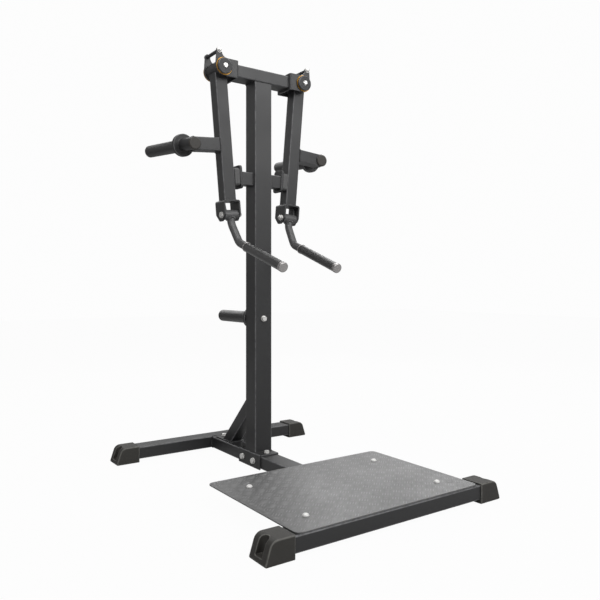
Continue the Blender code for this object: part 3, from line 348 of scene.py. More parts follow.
# Lamps: size, place and the point each looks at
LAMPS = {
    "key": ((2.6, 2.2), (1.6, -3.4, 2.9), (0, 0, 0.9)),
    "fill": ((2.6, 1.2), (1.2, -3.6, 0.9), (0, 0, 0.7)),
    "edge": ((0.35, 2.6), (-3.2, -1.6, 1.6), (0, 0, 0.9)),
    "back": ((2.4, 1.2), (0.5, 3.5, 2.2), (0, 0, 0.6)),
    "corner": ((2.4, 1.8), (3.0, 2.3, 1.7), (0, -0.2, 0.3)),
    "over": ((1.8, 1.8), (1.0, -0.5, 3.5), (0, 0, 0.4)),
    "roof": ((1.6, 1.6), (-1.1, -1.3, 3.1), (-0.1, -0.2, 0.8)),
    "top": ((2.0, 1.4), (0.8, 1.6, 2.9), (0, 0, 0.4)),
}

# Camera: level, with its heading from straight ahead, its lens in millimetres and its shift
CAMERA_PLACE = (-1.3079, -1.9942, 0.7181)
CAMERA_HEADING = math.radians(35.586)
CAMERA_SENSOR = 36
CAMERA_LENS = 38.58
CAMERA_SHIFT = (-0.0199, -0.0254)
CAMERA_CLIP = 60


# Properties


def length(name, description, default):
    return FloatProperty(
        name=name, description=description, default=default, unit="LENGTH", precision=5
    )


def colour(name, description, default):
    return FloatVectorProperty(
        name=name, description=description, default=default, subtype="COLOR", size=3
    )


def lamp(name, description, default):
    return FloatProperty(name=name, description=description, default=default, unit="POWER")


class MachineSizes(PropertyGroup):
    rim: length("Plate rim", "Rounding along the rims of cut plates", 0.0010)
    tube_rim: length("Tube rim", "Rounding along a tube's cut end", 0.0006)
    weld: length("Weld bead", "Radius of a weld bead", 0.0024)
    weld_ripple: length("Weld ripple", "Distance between a bead's ripples", 0.0026)
    tread_cell: length("Tread cell", "Side of one square of tread bars", 0.033)
    tread_bar: length("Tread bar", "Length of one raised bar", 0.027)
    tread_width: length("Tread bar width", "Width of one raised bar", 0.0032)
    tread_height: length("Tread bar height", "How far a bar stands off the plate", 0.0006)
    foot_voxel: length("Foot voxel", "Grain of the moulded feet's surface", 0.0012)


class MachineColours(PropertyGroup):
    powder_coat: colour("Powder coat", "Satin coat of the frame", (0.030, 0.030, 0.031))
    # A paler copy of the powder coat on the handle rods and sleeves: painted light for the light they
    # catch from above
    handle_coat: colour("Handle coat", "Paler coat of the handle rods", (0.095, 0.095, 0.096))
    foot_rubber: colour("Foot rubber", "Moulded feet", (0.036, 0.034, 0.030))
    tread_plate: colour("Tread plate", "Standing surface", (0.152, 0.152, 0.152))
    zinc: colour("Zinc", "Plated bolts and nuts", (0.80, 0.79, 0.77))
    # Zinc painted paler than the other zinc: a painted highlight that makes the base's bolts read
    # white
    bright_zinc: colour("Bright zinc", "Bolts of the base", (0.92, 0.91, 0.89))
    bronze: colour("Bronze", "Pivot bushes", (0.62, 0.33, 0.06))
    blackened_steel: colour("Blackened steel", "Discs and rods", (0.018, 0.018, 0.019))
    cap_plastic: colour("Cap plastic", "Plugs in the horns", (0.050, 0.046, 0.041))
    buffer_rubber: colour("Buffer rubber", "Pads the arms rest on", (0.105, 0.105, 0.105))
    grip_rubber: colour("Grip rubber", "Hand grips", (0.013, 0.013, 0.013))
    aluminium: colour("Aluminium", "Trim of the hand grips", (0.50, 0.485, 0.48))


class StudioLights(PropertyGroup):
    key: lamp("Key", "Power of the large lamp at the front right", 62)
    fill: lamp("Fill", "Power of the low lamp at the front", 9)
    edge: lamp("Edge", "Power of the narrow upright lamp at the left", 8)
    back: lamp("Back", "Power of the lamp behind", 18)
    corner: lamp("Corner", "Power of the lamp at the rear right", 25)
    over: lamp("Over", "Power of the lamp overhead at the right", 16)
    roof: lamp("Roof", "Power of the lamp overhead at the front left", 40)
    top: lamp("Top", "Power of the lamp above the rear", 25)
    sky: FloatProperty(name="Sky", description="Strength of the even light", default=0.10)
    mirror: FloatProperty(name="Mirror", description="Strength of the room in gloss", default=0.30)


def sizes():
    return bpy.context.scene.machine_sizes


# Outlines: closed rows of (x, y)


def corner_arc(before, corner, after, radius, steps):
    """The arc that rounds a corner between two straight runs.

    Its centre is on the bisector, radius / sin(half the angle) from the corner, and its angle goes
    evenly from one point of tangency to the other.
    """
    before, corner, after = (np.array(point, float) for point in (before, corner, after))
    back = (before - corner) / np.linalg.norm(before - corner)
    ahead = (after - corner) / np.linalg.norm(after - corner)
    half = math.acos(np.clip(back @ ahead, -1, 1)) / 2
    middle = (back + ahead) / np.linalg.norm(back + ahead)
    centre = corner + middle * radius / math.sin(half)
    start = corner + back * radius / math.tan(half) - centre
    end = corner + ahead * radius / math.tan(half) - centre
    first = math.atan2(start[1], start[0])
    sweep = (math.atan2(end[1], end[0]) - first + math.pi) % (2 * math.pi) - math.pi
    angles = first + sweep * np.linspace(0, 1, steps + 1)
    return centre + radius * np.stack([np.cos(angles), np.sin(angles)], axis=1)


def rounded(corners, radii, steps=5):
    """A closed outline, each corner an arc of its radius, or sharp where that is 0."""
    parts = []
    for i, corner in enumerate(corners):
        if radii[i]:
            after = corners[(i + 1) % len(corners)]
            parts.append(corner_arc(corners[i - 1], corner, after, radii[i], steps))
        else:
            parts.append(np.array([corner], float))
    return np.concatenate(parts)


def rectangle(width, height, radius, steps=5):
    x, y = width / 2, height / 2
    return rounded([(-x, -y), (x, -y), (x, y), (-x, y)], [radius] * 4, steps)


def subdivided(outline, count):
    """An outline whose long straights are split into equal parts, for an end that curves."""
    parts = []
    for start, end in zip(outline, np.roll(outline, -1, axis=0)):
        long = np.linalg.norm(end - start) > ARM_CORNER
        parts.append(np.linspace(start, end, count if long else 1, endpoint=False))
    return np.concatenate(parts)


def arc(centre, radius, start, end, steps):
    """Points at even angles, in degrees, on a circle."""
    angles = np.radians(np.linspace(start, end, steps + 1))
    return np.array(centre) + radius * np.stack([np.cos(angles), np.sin(angles)], axis=1)


def inset(outline, distances):
    """An outline drawn in by each distance: every point moves along its corner's mitre."""
    ahead = np.roll(outline, -1, axis=0) - outline
    ahead /= np.linalg.norm(ahead, axis=1, keepdims=True)
    normal = np.stack([-ahead[:, 1], ahead[:, 0]], axis=1)
    turned_in = 1 if area(outline) > 0 else -1
    both = normal + np.roll(normal, 1, axis=0)
    mitre = both / (1 + np.sum(normal * np.roll(normal, 1, axis=0), axis=1))[:, None]
    return outline + turned_in * np.asarray(distances, float)[:, None, None] * mitre


def area(outline):
    x, y = outline.T
    return float(np.sum(x * np.roll(y, -1) - np.roll(x, -1) * y)) / 2


# Shells: closed surfaces as a pair of vertices and faces


def skin(rings, loop=False):
    """Quads between one ring and the next; a loop joins the last ring to the first, and
    otherwise both ends get a flat cap. Faces are turned to point outwards."""
    count, around = rings.shape[:2]
    spots = rings.reshape(-1, 3)
    index = np.arange(count * around).reshape(count, around)
    here = index if loop else index[:-1]
    above = np.roll(index, -1, axis=0) if loop else index[1:]
    quads = np.stack(
        [here, np.roll(here, -1, axis=1), np.roll(above, -1, axis=1), above], axis=2
    ).reshape(-1, 4)
    faces = quads.tolist()
    corners = spots[quads]
    volume = np.einsum("ij,ij->", corners[:, 0], np.cross(corners[:, 1], corners[:, 2]))
    volume += np.einsum("ij,ij->", corners[:, 0], np.cross(corners[:, 2], corners[:, 3]))
    if not loop:
        for cap in (index[0, ::-1], index[-1]):
            faces.append(cap.tolist())
            fan = spots[cap]
            volume += np.einsum("j,ij->", fan[0], np.cross(fan[1:-1], fan[2:]))
    if volume < 0:
        faces = [face[::-1] for face in faces]
    return spots, faces


def lifted(outlines, heights):
    """Rings of an outline each, at heights that are one a ring or one a point."""
    heights = np.asarray(heights, float)
    if heights.ndim == 1:
        heights = np.broadcast_to(heights[:, None], outlines.shape[:2])
    return np.concatenate([outlines, heights[:, :, None]], axis=2)


def rim_profile(edge, steps):
    """A quarter round: how far each ring is drawn in, and how far it is below the face."""
    if not edge:
        return np.zeros(1), np.zeros(1)
    angles = np.linspace(0, math.pi / 2, steps + 1)
    return edge * (1 - np.cos(angles)), edge * (1 - np.sin(angles))


def slab(outline, thickness, edge, steps=3):
    """Rings of a plate with rounded rims, centred on z = 0."""
    inward, below = rim_profile(edge, steps)
    outlines = inset(outline, np.concatenate([inward[::-1], inward]))
    heights = np.concatenate([below[::-1] - thickness / 2, thickness / 2 - below])
    return lifted(outlines, heights)


def pipe(outline, wall, start, end, edge=0.0, steps=2):
    """Rings of an open tube from start to end, which are heights or functions of (x, y).

    The outer wall goes up from one rounded rim to the other, and the inner wall comes down.
    """
    inward, below = rim_profile(edge, steps)
    outlines = inset(outline, np.concatenate([inward[::-1], inward, [wall, wall]]))
    ends = []
    for limit in (start, end):
        if callable(limit):
            ends.append(limit(outlines[..., 0], outlines[..., 1]))
        else:
            ends.append(np.full(outlines.shape[:2], float(limit)))
    count = len(inward)
    heights = np.empty(outlines.shape[:2])
    heights[:count] = ends[0][:count] + below[::-1, None]
    heights[count:-2] = ends[1][count:-2] - below[:, None]
    heights[-2] = ends[1][-2]
    heights[-1] = ends[0][-1]
    return lifted(outlines, heights)


def turned(profile, around=72):
    """Rings of (radius cos a, radius sin a, height), one for each (radius, height)."""
    angles = np.arange(around) * (2 * math.pi / around)
    radius, height = np.asarray(profile, float).T
    flat = radius[:, None, None] * np.stack([np.cos(angles), np.sin(angles)], axis=1)
    return lifted(flat, height)


def softened(profile, edge, closed=False, steps=3):
    """A profile of (radius, height) with its corners rounded by one radius, ends left alone."""
    parts = []
    for i, corner in enumerate(profile):
        if not closed and i in (0, len(profile) - 1):
            parts.append(np.array([corner], float))
        else:
            after = profile[(i + 1) % len(profile)]
            parts.append(corner_arc(profile[i - 1], corner, after, edge, steps))
    return np.concatenate(parts)


def bar_profile(radius, start, end, edge, steps=3):
    """A solid round bar's profile from one height to another, with softened ends."""
    return softened([(POLE, start), (radius, start), (radius, end), (POLE, end)], edge, steps=steps)


def ring_profile(outer, bore, start, end, edge):
    """A ring's closed profile from one height to another, with softened corners."""
    return softened([(outer, end), (outer, start), (bore, start), (bore, end)], edge, True)


def hexagon_head(across, height, around=72):
    """Rings of a hexagon bolt head on z = 0 whose top corners are turned off at 30 degrees.

    The side is at r(a) = (across / 2) / cos(a mod 60 - 30), and it ends where a cone cuts it, at
    height - (r(a) - 0.47 across) tan 30. The last two rings make its flat face.
    """
    angles = np.arange(around) * (2 * math.pi / around)
    radius = across / 2 / np.cos(np.mod(angles, math.pi / 3) - math.pi / 6)
    face = HEAD_FACE * across
    shoulder = height - np.maximum(radius - face, 0) * math.tan(HEAD_CONE)
    unit = np.stack([np.cos(angles), np.sin(angles)], axis=1)
    reach = np.stack([radius, radius, np.full(around, face - 0.0002), np.full(around, face * 0.9)])
    heights = np.stack([np.zeros(around), shoulder, np.full(around, height), np.full(around, height)])
    return lifted(reach[:, :, None] * unit, heights)


def swept(path, radii, up, closed=False, around=16):
    """Rings about a path, in the plane that its tangent and the up direction give.

    Each ring is centre + r (cos a side + sin a normal), with side = up x tangent.
    """
    if closed:
        tangent = np.roll(path, -1, axis=0) - np.roll(path, 1, axis=0)
    else:
        tangent = np.gradient(path, axis=0)
    tangent /= np.linalg.norm(tangent, axis=1, keepdims=True)
    side = np.cross(up, tangent)
    side /= np.linalg.norm(side, axis=1, keepdims=True)
    normal = np.cross(tangent, side)
    angles = np.arange(around) * (2 * math.pi / around)
    spread = np.cos(angles)[:, None] * side[:, None] + np.sin(angles)[:, None] * normal[:, None]
    return path[:, None] + np.asarray(radii)[:, None, None] * spread


def resampled(path, spacing):
    """A closed path with points at even distances along it."""
    loop = np.concatenate([path, path[:1]])
    along = np.concatenate([[0], np.cumsum(np.linalg.norm(np.diff(loop, axis=0), axis=1))])
    count = max(int(round(along[-1] / spacing)), 12)
    wanted = np.arange(count) * along[-1] / count
    return np.stack([np.interp(wanted, along, loop[:, k]) for k in range(3)], axis=1), along[-1]


def weld_bead(path, up, matrix, share=1.0):
    """A bead along a closed path, its radius r (1 + 0.13 cos of the ripple's phase)."""
    radius = sizes().weld * share
    path, total = resampled(path, sizes().weld_ripple / 4)
    ripples = round(total / sizes().weld_ripple)
    phase = np.arange(len(path)) * (2 * math.pi * ripples / len(path))
    rings = swept(path, radius * (1 + 0.13 * np.cos(phase)), np.array(up, float), True, 8)
    return skin(moved(rings, matrix), loop=True)


def flat_path(outline, height):
    """An outline as a path at a height, which is a number or a function of (x, y)."""
    level = height(outline[:, 0], outline[:, 1]) if callable(height) else height
    return np.column_stack([outline, np.broadcast_to(level, len(outline))])


# Places


def spot(location, rotation=(0, 0, 0), parent=None):
    """The matrix of a place: turned about X, Y, Z, then moved, inside its parent's."""
    matrix = Matrix.Translation(location) @ Euler(rotation).to_matrix().to_4x4()
    return parent @ matrix if parent else matrix


def further(place, distance, back=False):
    """A place further along another's Z, which looks back along it if asked."""
    return spot((0, 0, distance), TURNED_BACK if back else (0, 0, 0), place)


def moved(points, matrix):
    turn = np.array(matrix, float)
    return points @ turn[:3, :3].T + turn[:3, 3]


def arm_place(side):
    """The arm's pivot, turned so that -Z runs down the arm."""
    return spot((side * PIVOT_X, POST_Y, PIVOT_Z), (0, side * ARM_TILT, 0))


# Pieces


def mesh_of(name, shells):
    """One mesh of several closed shells."""
    starts = np.cumsum([0] + [len(spots) for spots, _ in shells])
    faces = [
        [start + corner for corner in face]
        for start, (_, shell_faces) in zip(starts, shells)
        for face in shell_faces
    ]
    mesh = bpy.data.meshes.new(name)
    mesh.from_pydata(np.concatenate([spots for spots, _ in shells]), [], faces)
    mesh.update()
    return mesh


def mark_rims(mesh):
    """Write how tightly the surface bends outwards at each vertex, from 0 on flats to 1 on rims.

    The bend across an edge is the angle between its two faces over the distance between their
    middles, which is 1 / r on a round of radius r; a vertex takes the largest of its edges'.
    """
    faces, loops = len(mesh.polygons), len(mesh.loops)
    edge, corners = np.empty(loops, np.int32), np.empty(faces, np.int32)
    mesh.loops.foreach_get("edge_index", edge)
    mesh.polygons.foreach_get("loop_total", corners)
    face = np.repeat(np.arange(faces), corners)
    order = np.argsort(edge, kind="stable")
    edge, face = edge[order], face[order]
    paired = edge[:-1] == edge[1:]
    first, second, edge = face[:-1][paired], face[1:][paired], edge[:-1][paired]
    normal, middle = np.empty(3 * faces), np.empty(3 * faces)
    mesh.polygons.foreach_get("normal", normal)
    mesh.polygons.foreach_get("center", middle)
    normal, middle = normal.reshape(-1, 3), middle.reshape(-1, 3)
    across = middle[second] - middle[first]
    turn = np.arccos(np.clip(np.sum(normal[first] * normal[second], axis=1), -1, 1))
    bend = turn / np.maximum(np.linalg.norm(across, axis=1), 1e-5)
    bend[np.sum(across * normal[first], axis=1) > 0] = 0
    ends = np.empty(2 * len(mesh.edges), np.int32)
    mesh.edges.foreach_get("vertices", ends)
    rim = np.zeros(len(mesh.vertices))
    np.maximum.at(rim, ends.reshape(-1, 2)[edge].ravel(), np.repeat(bend, 2))
    share = np.clip((rim - RIM_BEND_START) / (RIM_BEND_FULL - RIM_BEND_START), 0, 1)
    mesh.attributes.new("rim", "FLOAT", "POINT").data.foreach_set("value", share.astype(np.float32))


def dress(name, shape, finish, body, *nodes, sharp=40):
    """Make a visible piece from shells or a mesh, finished and riding on a body."""
    mesh = shape if isinstance(shape, bpy.types.Mesh) else mesh_of(name, shape)
    mesh.name = name
    # The rim share drives the painted highlight along rims in the finishes; welds get none
    if "welds" not in name:
        mark_rims(mesh)
    mesh.materials.clear()
    mesh.materials.append(finished(finish))
    mesh.shade_smooth()
    mesh.set_sharp_from_angle(angle=math.radians(sharp))
    piece = bpy.data.objects.new(name, mesh)
    bpy.context.scene.collection.objects.link(piece)
    shading = piece.modifiers.new("even shading", "WEIGHTED_NORMAL")
    shading.keep_sharp = True
    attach(piece, body)
    if nodes:
        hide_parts(*nodes)
    return piece


def carved(name, shells, steps, bevel=0.0, voxel=0.0, smoothing=0):
    """A mesh cut by other shells in turn, then softened by a bevel or a remesh."""
    base = bpy.data.objects.new(name, mesh_of(name, shells))
    bpy.context.scene.collection.objects.link(base)
    tools = []
    for operation, tool_shells in steps:
        tool = bpy.data.objects.new("tool", mesh_of("tool", tool_shells))
        bpy.context.scene.collection.objects.link(tool)
        tools.append(tool)
        modifier = base.modifiers.new(operation.lower(), "BOOLEAN")
        modifier.operation = operation
        modifier.solver = "EXACT"
        modifier.object = tool
    if bevel:
        modifier = base.modifiers.new("bevel", "BEVEL")
        modifier.width = bevel
        modifier.segments = 3
        modifier.limit_method = "ANGLE"
        modifier.angle_limit = math.radians(40)
    if voxel:
        modifier = base.modifiers.new("remesh", "REMESH")
        modifier.mode = "VOXEL"
        modifier.voxel_size = voxel
        modifier = base.modifiers.new("smooth", "SMOOTH")
        modifier.factor = 0.5
        modifier.iterations = smoothing
    bpy.context.view_layer.update()
    evaluated = base.evaluated_get(bpy.context.evaluated_depsgraph_get())
    mesh = bpy.data.meshes.new_from_object(evaluated)
    for thing in [base, *tools]:
        bpy.data.objects.remove(thing, do_unlink=True)
    if not mesh.polygons:
        raise RuntimeError(f"{name} came out empty")
    return mesh


def placed(rings, matrix, loop=False):
    return skin(moved(rings, matrix), loop)


def tubing(outline, start, end, matrix, edge=0.0):
    """An open tube in a place."""
    return placed(pipe(outline, TUBE_WALL, start, end, edge), matrix, True)


def sheet(outline, thickness, edge, matrix, steps=3):
    """A plate in a place, centred on its z = 0."""
    return placed(slab(outline, thickness, edge, steps), matrix)


def lathed(profile, matrix, around=48, loop=False):
    """A turned shell in a place."""
    return placed(turned(profile, around), matrix, loop)


def hexagon_bolt(matrix, head, turn):
    """Washer and hexagon head on a face, with z = 0 on the face."""
    washer_radius, across, height = head
    place = spot((0, 0, WASHER), (0, 0, turn), matrix)
    disc = lathed(bar_profile(washer_radius, 0, WASHER, WASHER_EDGE), matrix)
    return [disc, placed(hexagon_head(across, height), place)]


def cap_nut(matrix, nut):
    """A washer, a hexagon and a dome that ends at the nut's height over the face."""
    washer_radius, across, hexagon, height = nut
    base = CAP_NUT_WASHER + hexagon
    dome_radius = across * CAP_NUT_DOME
    angles = np.linspace(0, math.pi / 2 - 0.02, 9)
    dome = np.stack([dome_radius * np.cos(angles), base + (height - base) * np.sin(angles)], axis=1)
    dome = np.concatenate([[(dome_radius, base - SHANK_SINK)], dome])
    return [
        lathed(bar_profile(washer_radius, 0, CAP_NUT_WASHER, CAP_NUT_WASHER_EDGE), matrix),
        placed(hexagon_head(across, hexagon), spot((0, 0, CAP_NUT_WASHER), (0, 0, 0.35), matrix)),
        lathed(dome, matrix),
    ]


def shank(matrix, radius, start, end):
    """A bolt's plain shank from one height to another."""
    return lathed(bar_profile(radius, start, end, SHANK_EDGE), matrix, 36)


def plate_bolt(place, turn):
    """A bolt that goes down through a foot plate or flange into the spine."""
    stem = shank(place, FLANGE_SHANK, -FLANGE_SHANK_LENGTH, SHANK_SINK)
    return hexagon_bolt(place, FLANGE_HEAD, turn) + [stem]


def drill(radius, matrix, around):
    """A round cutter that goes right through along a place's Z."""
    return lathed([(radius, -CUTTER_REACH), (radius, CUTTER_REACH)], matrix, around)


# Shader maths


class Value:
    """A number that a material works out; arithmetic on it adds Math nodes."""

    def __init__(self, tree, socket):
        self.tree = tree
        self.socket = socket

    def math(self, operation, *terms):
        node = self.tree.nodes.new("ShaderNodeMath")
        node.operation = operation
        for socket, term in zip(node.inputs, terms):
            if isinstance(term, Value):
                self.tree.links.new(term.socket, socket)
            else:
                socket.default_value = term
        return Value(self.tree, node.outputs[0])

    def __add__(self, other):
        return self.math("ADD", self, other)

    __radd__ = __add__

    def __rsub__(self, other):
        return self.math("SUBTRACT", other, self)

    def __mul__(self, other):
        return self.math("MULTIPLY", self, other)

    __rmul__ = __mul__


class Finish:
    """A material being put together around its Principled shader."""

    def __init__(self, name, roughness, metallic=0.0):
        self.material = bpy.data.materials.new(name)
        self.material.use_nodes = True
        self.tree = self.material.node_tree
        self.shader = self.tree.nodes["Principled BSDF"]
        self.shader.inputs["Roughness"].default_value = roughness
        self.shader.inputs["Metallic"].default_value = metallic
        self.places = self.node("ShaderNodeTexCoord", {}, {}, "Object")

    def rim_highlight(self, low=0.5):
        """How much painted highlight a rim gets: the share along it, broken up by soft noise."""
        rim = self.node("ShaderNodeAttribute", {"attribute_name": "rim"}, {}, "Fac")
        return rim * self.ranged(self.noise(45, 3, 0.6), 0.35, 0.6, low, 1.0)

    def varnish(self, weight, roughness, density):
        """A clear layer over the colour, which draws light lines along rounded edges."""
        self.shader.inputs["Coat Weight"].default_value = weight
        self.shader.inputs["Coat Roughness"].default_value = roughness
        self.shader.inputs["Coat IOR"].default_value = density

    def node(self, kind, settings, sockets, output=0):
        """Any node: its settings first, then the values or links of its sockets."""
        node = self.tree.nodes.new(kind)
        for name, setting in settings.items():
            setattr(node, name, setting)
        for name, value in sockets.items():
            self.feed(node.inputs[name], value)
        return Value(self.tree, node.outputs[output])

    def feed(self, socket, value):
        if isinstance(value, Value):
            self.tree.links.new(value.socket, socket)
        else:
            socket.default_value = value

    def set(self, name, value):
        self.feed(self.shader.inputs[name], value)

    def noise(self, scale, detail=2.0, roughness=0.5, stretch=None):
        """Soft noise from 0 to 1; stretch is the scale along X, Y and Z."""
        places = self.places
        if stretch:
            places = self.node("ShaderNodeMapping", {}, {"Vector": places, "Scale": stretch})
        sockets = {"Vector": places, "Scale": scale, "Detail": detail, "Roughness": roughness}
        return self.node("ShaderNodeTexNoise", {}, sockets)

    def ranged(self, value, low, high, to_low=0.0, to_high=1.0):
        """A value brought from one range to another and held inside it."""
        sockets = {0: value, 1: low, 2: high, 3: to_low, 4: to_high}
        return self.node("ShaderNodeMapRange", {}, sockets)

    def mix(self, share, first, second):
        """One colour blended into another by a share."""
        sockets = {0: share, 6: first, 7: second}
        return self.node("ShaderNodeMix", {"data_type": "RGBA"}, sockets, 2)

    def tinted(self, share, tone, dark, pale):
        """A tone darkened by one factor, blended by a share into one lightened by another."""
        return self.mix(share, shade(tone, dark), shade(tone, pale))

    def gloss(self, pattern, low, high):
        """Roughness from low to high, as the middle of a pattern's range goes up."""
        self.set("Roughness", self.ranged(pattern, 0.3, 0.7, low, high))

    def bump(self, height, distance, strength=1.0):
        """Relief of a height from 0 to 1 over a distance in metres."""
        sockets = {"Height": height, "Distance": distance, "Strength": strength}
        self.set("Normal", self.node("ShaderNodeBump", {}, sockets))


def shade(tone, factor):
    return (*(min(channel * factor, 1.0) for channel in tone), 1.0)


def powder_coat(finish, tone):
    """Satin coat: fine orange peel, a fleck finer than that, slow changes of gloss, and a painted
    highlight along rounded rims.
    """
    peel = finish.noise(900, 2, 0.55)
    cloud = finish.noise(7, 3, 0.5)
    fleck = finish.noise(2600, 1, 0.5)
    coat = finish.tinted(cloud * 0.6 + fleck * 0.4, tone, 0.86, 1.16)
    # Rims are painted up to 5.2 times paler: a painted highlight for light caught on rounded edges
    finish.set("Base Color", finish.mix(finish.rim_highlight(), coat, shade(tone, 5.2)))
    finish.gloss(cloud, 0.36, 0.46)
    finish.bump(peel * 0.8 + fleck * 0.2, 0.00010, 0.6)


def foot_rubber(finish, tone):
    """Moulded rubber: a leathery grain, and a pale grey painted highlight along its rounded rims."""
    grain = finish.noise(700, 3, 0.6)
    cloud = finish.noise(24, 3, 0.55)
    rubber = finish.tinted(cloud * 0.7 + grain * 0.3, tone, 0.78, 1.28)
    # Pale grey of the painted rim highlight
    rim_highlight = (0.15, 0.147, 0.135, 1.0)
    finish.set("Base Color", finish.mix(finish.rim_highlight(0.6), rubber, rim_highlight))
    finish.gloss(grain, 0.55, 0.70)
    finish.bump(grain, 0.00018, 0.6)


def tread_plate(finish, tone):
    """Rolled plate: fine lines along the rolling direction, dusty in patches, and a painted highlight
    along the rims of the plate and its tread bars.
    """
    lines = finish.noise(60, 3, 0.6, (1.0, 14.0, 1.0))
    patches = finish.noise(6, 4, 0.6)
    grit = finish.noise(1500, 2, 0.6)
    mixed = lines * 0.3 + patches * 0.4 + grit * 0.3
    plate = finish.tinted(mixed, tone, 0.82, 1.18)
    # Rims are painted twice as pale: a painted highlight that makes the tread bars read as light
    # strokes
    finish.set("Base Color", finish.mix(finish.rim_highlight(0.6) * 0.75, plate, shade(tone, 2.0)))
    finish.gloss(patches, 0.34, 0.48)
    finish.bump(grit * 0.6 + lines * 0.4, 0.00010, 0.5)


def zinc(finish, tone):
    """Bright zinc plate: faint stains and fine scratches."""
    stain = finish.noise(220, 3, 0.6)
    scratch = finish.noise(1400, 2, 0.6, (1.0, 6.0, 1.0))
    finish.set("Base Color", finish.tinted(stain, tone, 0.88, 1.08))
    finish.gloss(scratch, 0.22, 0.34)
    finish.bump(scratch, 0.00002, 0.4)


def bronze(finish, tone):
    """Turned bronze: rings of the lathe and a little darkening."""
    stain = finish.noise(160, 3, 0.6)
    lathe = finish.noise(900, 2, 0.5)
    finish.set("Base Color", finish.tinted(stain, tone, 0.80, 1.12))
    finish.gloss(lathe, 0.34, 0.46)
    finish.bump(lathe, 0.00001, 0.3)


def blackened_steel(finish, tone):
    """Blackened turned steel: oily gloss with fine marks, and a painted highlight along rounded rims.
    """
    marks = finish.noise(500, 3, 0.6)
    cloud = finish.noise(60, 2, 0.5)
    oil = finish.tinted(cloud, tone, 0.75, 1.35)
    # Rims are painted up to 8 times paler: a painted highlight for light caught on rounded edges
    finish.set("Base Color", finish.mix(finish.rim_highlight(), oil, shade(tone, 8.0)))
    finish.gloss(marks, 0.24, 0.36)
    finish.set("Specular IOR Level", 0.3)
    finish.bump(marks, 0.00004, 0.4)


def cap_plastic(finish, tone):
    """Moulded plastic: an even spark-eroded grain."""
    grain = finish.noise(1300, 2, 0.6)
    cloud = finish.noise(40, 2, 0.5)
    finish.set("Base Color", finish.tinted(cloud, tone, 0.85, 1.15))
    finish.gloss(grain, 0.46, 0.60)
    finish.bump(grain, 0.00008, 0.5)


def buffer_rubber(finish, tone):
    """Rubber pad: fine pores and faint scuffs."""
    pores = finish.noise(1100, 3, 0.6)
    scuffs = finish.noise(90, 3, 0.6, (1.0, 1.0, 3.0))
    finish.set("Base Color", finish.tinted(scuffs, tone, 0.8, 1.25))
    finish.gloss(scuffs, 0.56, 0.72)
    finish.bump(pores, 0.00012, 0.6)


def grip_rubber(finish, tone):
    """Soft grip: closed cells that dimple the surface."""
    cells = finish.node("ShaderNodeTexVoronoi", {}, {"Vector": finish.places, "Scale": 900.0})
    cloud = finish.noise(30, 2, 0.5)
    finish.set("Base Color", finish.tinted(cloud, tone, 0.8, 1.3))
    finish.gloss(cloud, 0.44, 0.56)
    finish.bump(1 - cells, 0.00015, 0.5)
    finish.varnish(1.0, 0.40, 1.7)


def aluminium(finish, tone):
    """Turned aluminium: fine lathe lines."""
    lathe = finish.noise(1600, 2, 0.6)
    stain = finish.noise(120, 2, 0.5)
    finish.set("Base Color", finish.tinted(stain, tone, 0.92, 1.06))
    finish.gloss(lathe, 0.20, 0.30)
    finish.bump(lathe, 0.00002, 0.4)


FINISHES = {
    "powder_coat": (powder_coat, 0.0),
    # The frame's coat painted paler for the handle rods: painted light from above
    "handle_coat": (powder_coat, 0.0),
    "foot_rubber": (foot_rubber, 0.0),
    "tread_plate": (tread_plate, 0.55),
    "zinc": (zinc, 0.6),
    # Far less metallic than zinc, so its paler colour shows as a painted highlight
    "bright_zinc": (zinc, 0.15),
    "bronze": (bronze, 1.0),
    "blackened_steel": (blackened_steel, 0.1),
    "cap_plastic": (cap_plastic, 0.0),
    "buffer_rubber": (buffer_rubber, 0.0),
    "grip_rubber": (grip_rubber, 0.0),
    "aluminium": (aluminium, 1.0),
}


def finished(name):
    """The machine's material of that name, made the first time it is asked for."""
    material = bpy.data.materials.get("machine_" + name)
    if material:
        return material
    paint, metallic = FINISHES[name]
    finish = Finish("machine_" + name, 0.5, metallic)
    paint(finish, tuple(getattr(bpy.context.scene.machine_colours, name)))
    return finish.material


# Base frame


def box_tube(name, section, reach, matrix, node, edge):
    """A straight tube with a (width, height) section, centred on its place."""
    shell = tubing(rectangle(*section, TUBE_CORNER), -reach / 2, reach / 2, matrix, edge)
    dress(name, [shell], "powder_coat", ROOT, node)


def seam(outline, height, matrix, share=1.0):
    """A weld bead along an outline in a place."""
    return weld_bead(flat_path(outline, height), (0, 0, 1), matrix, share)


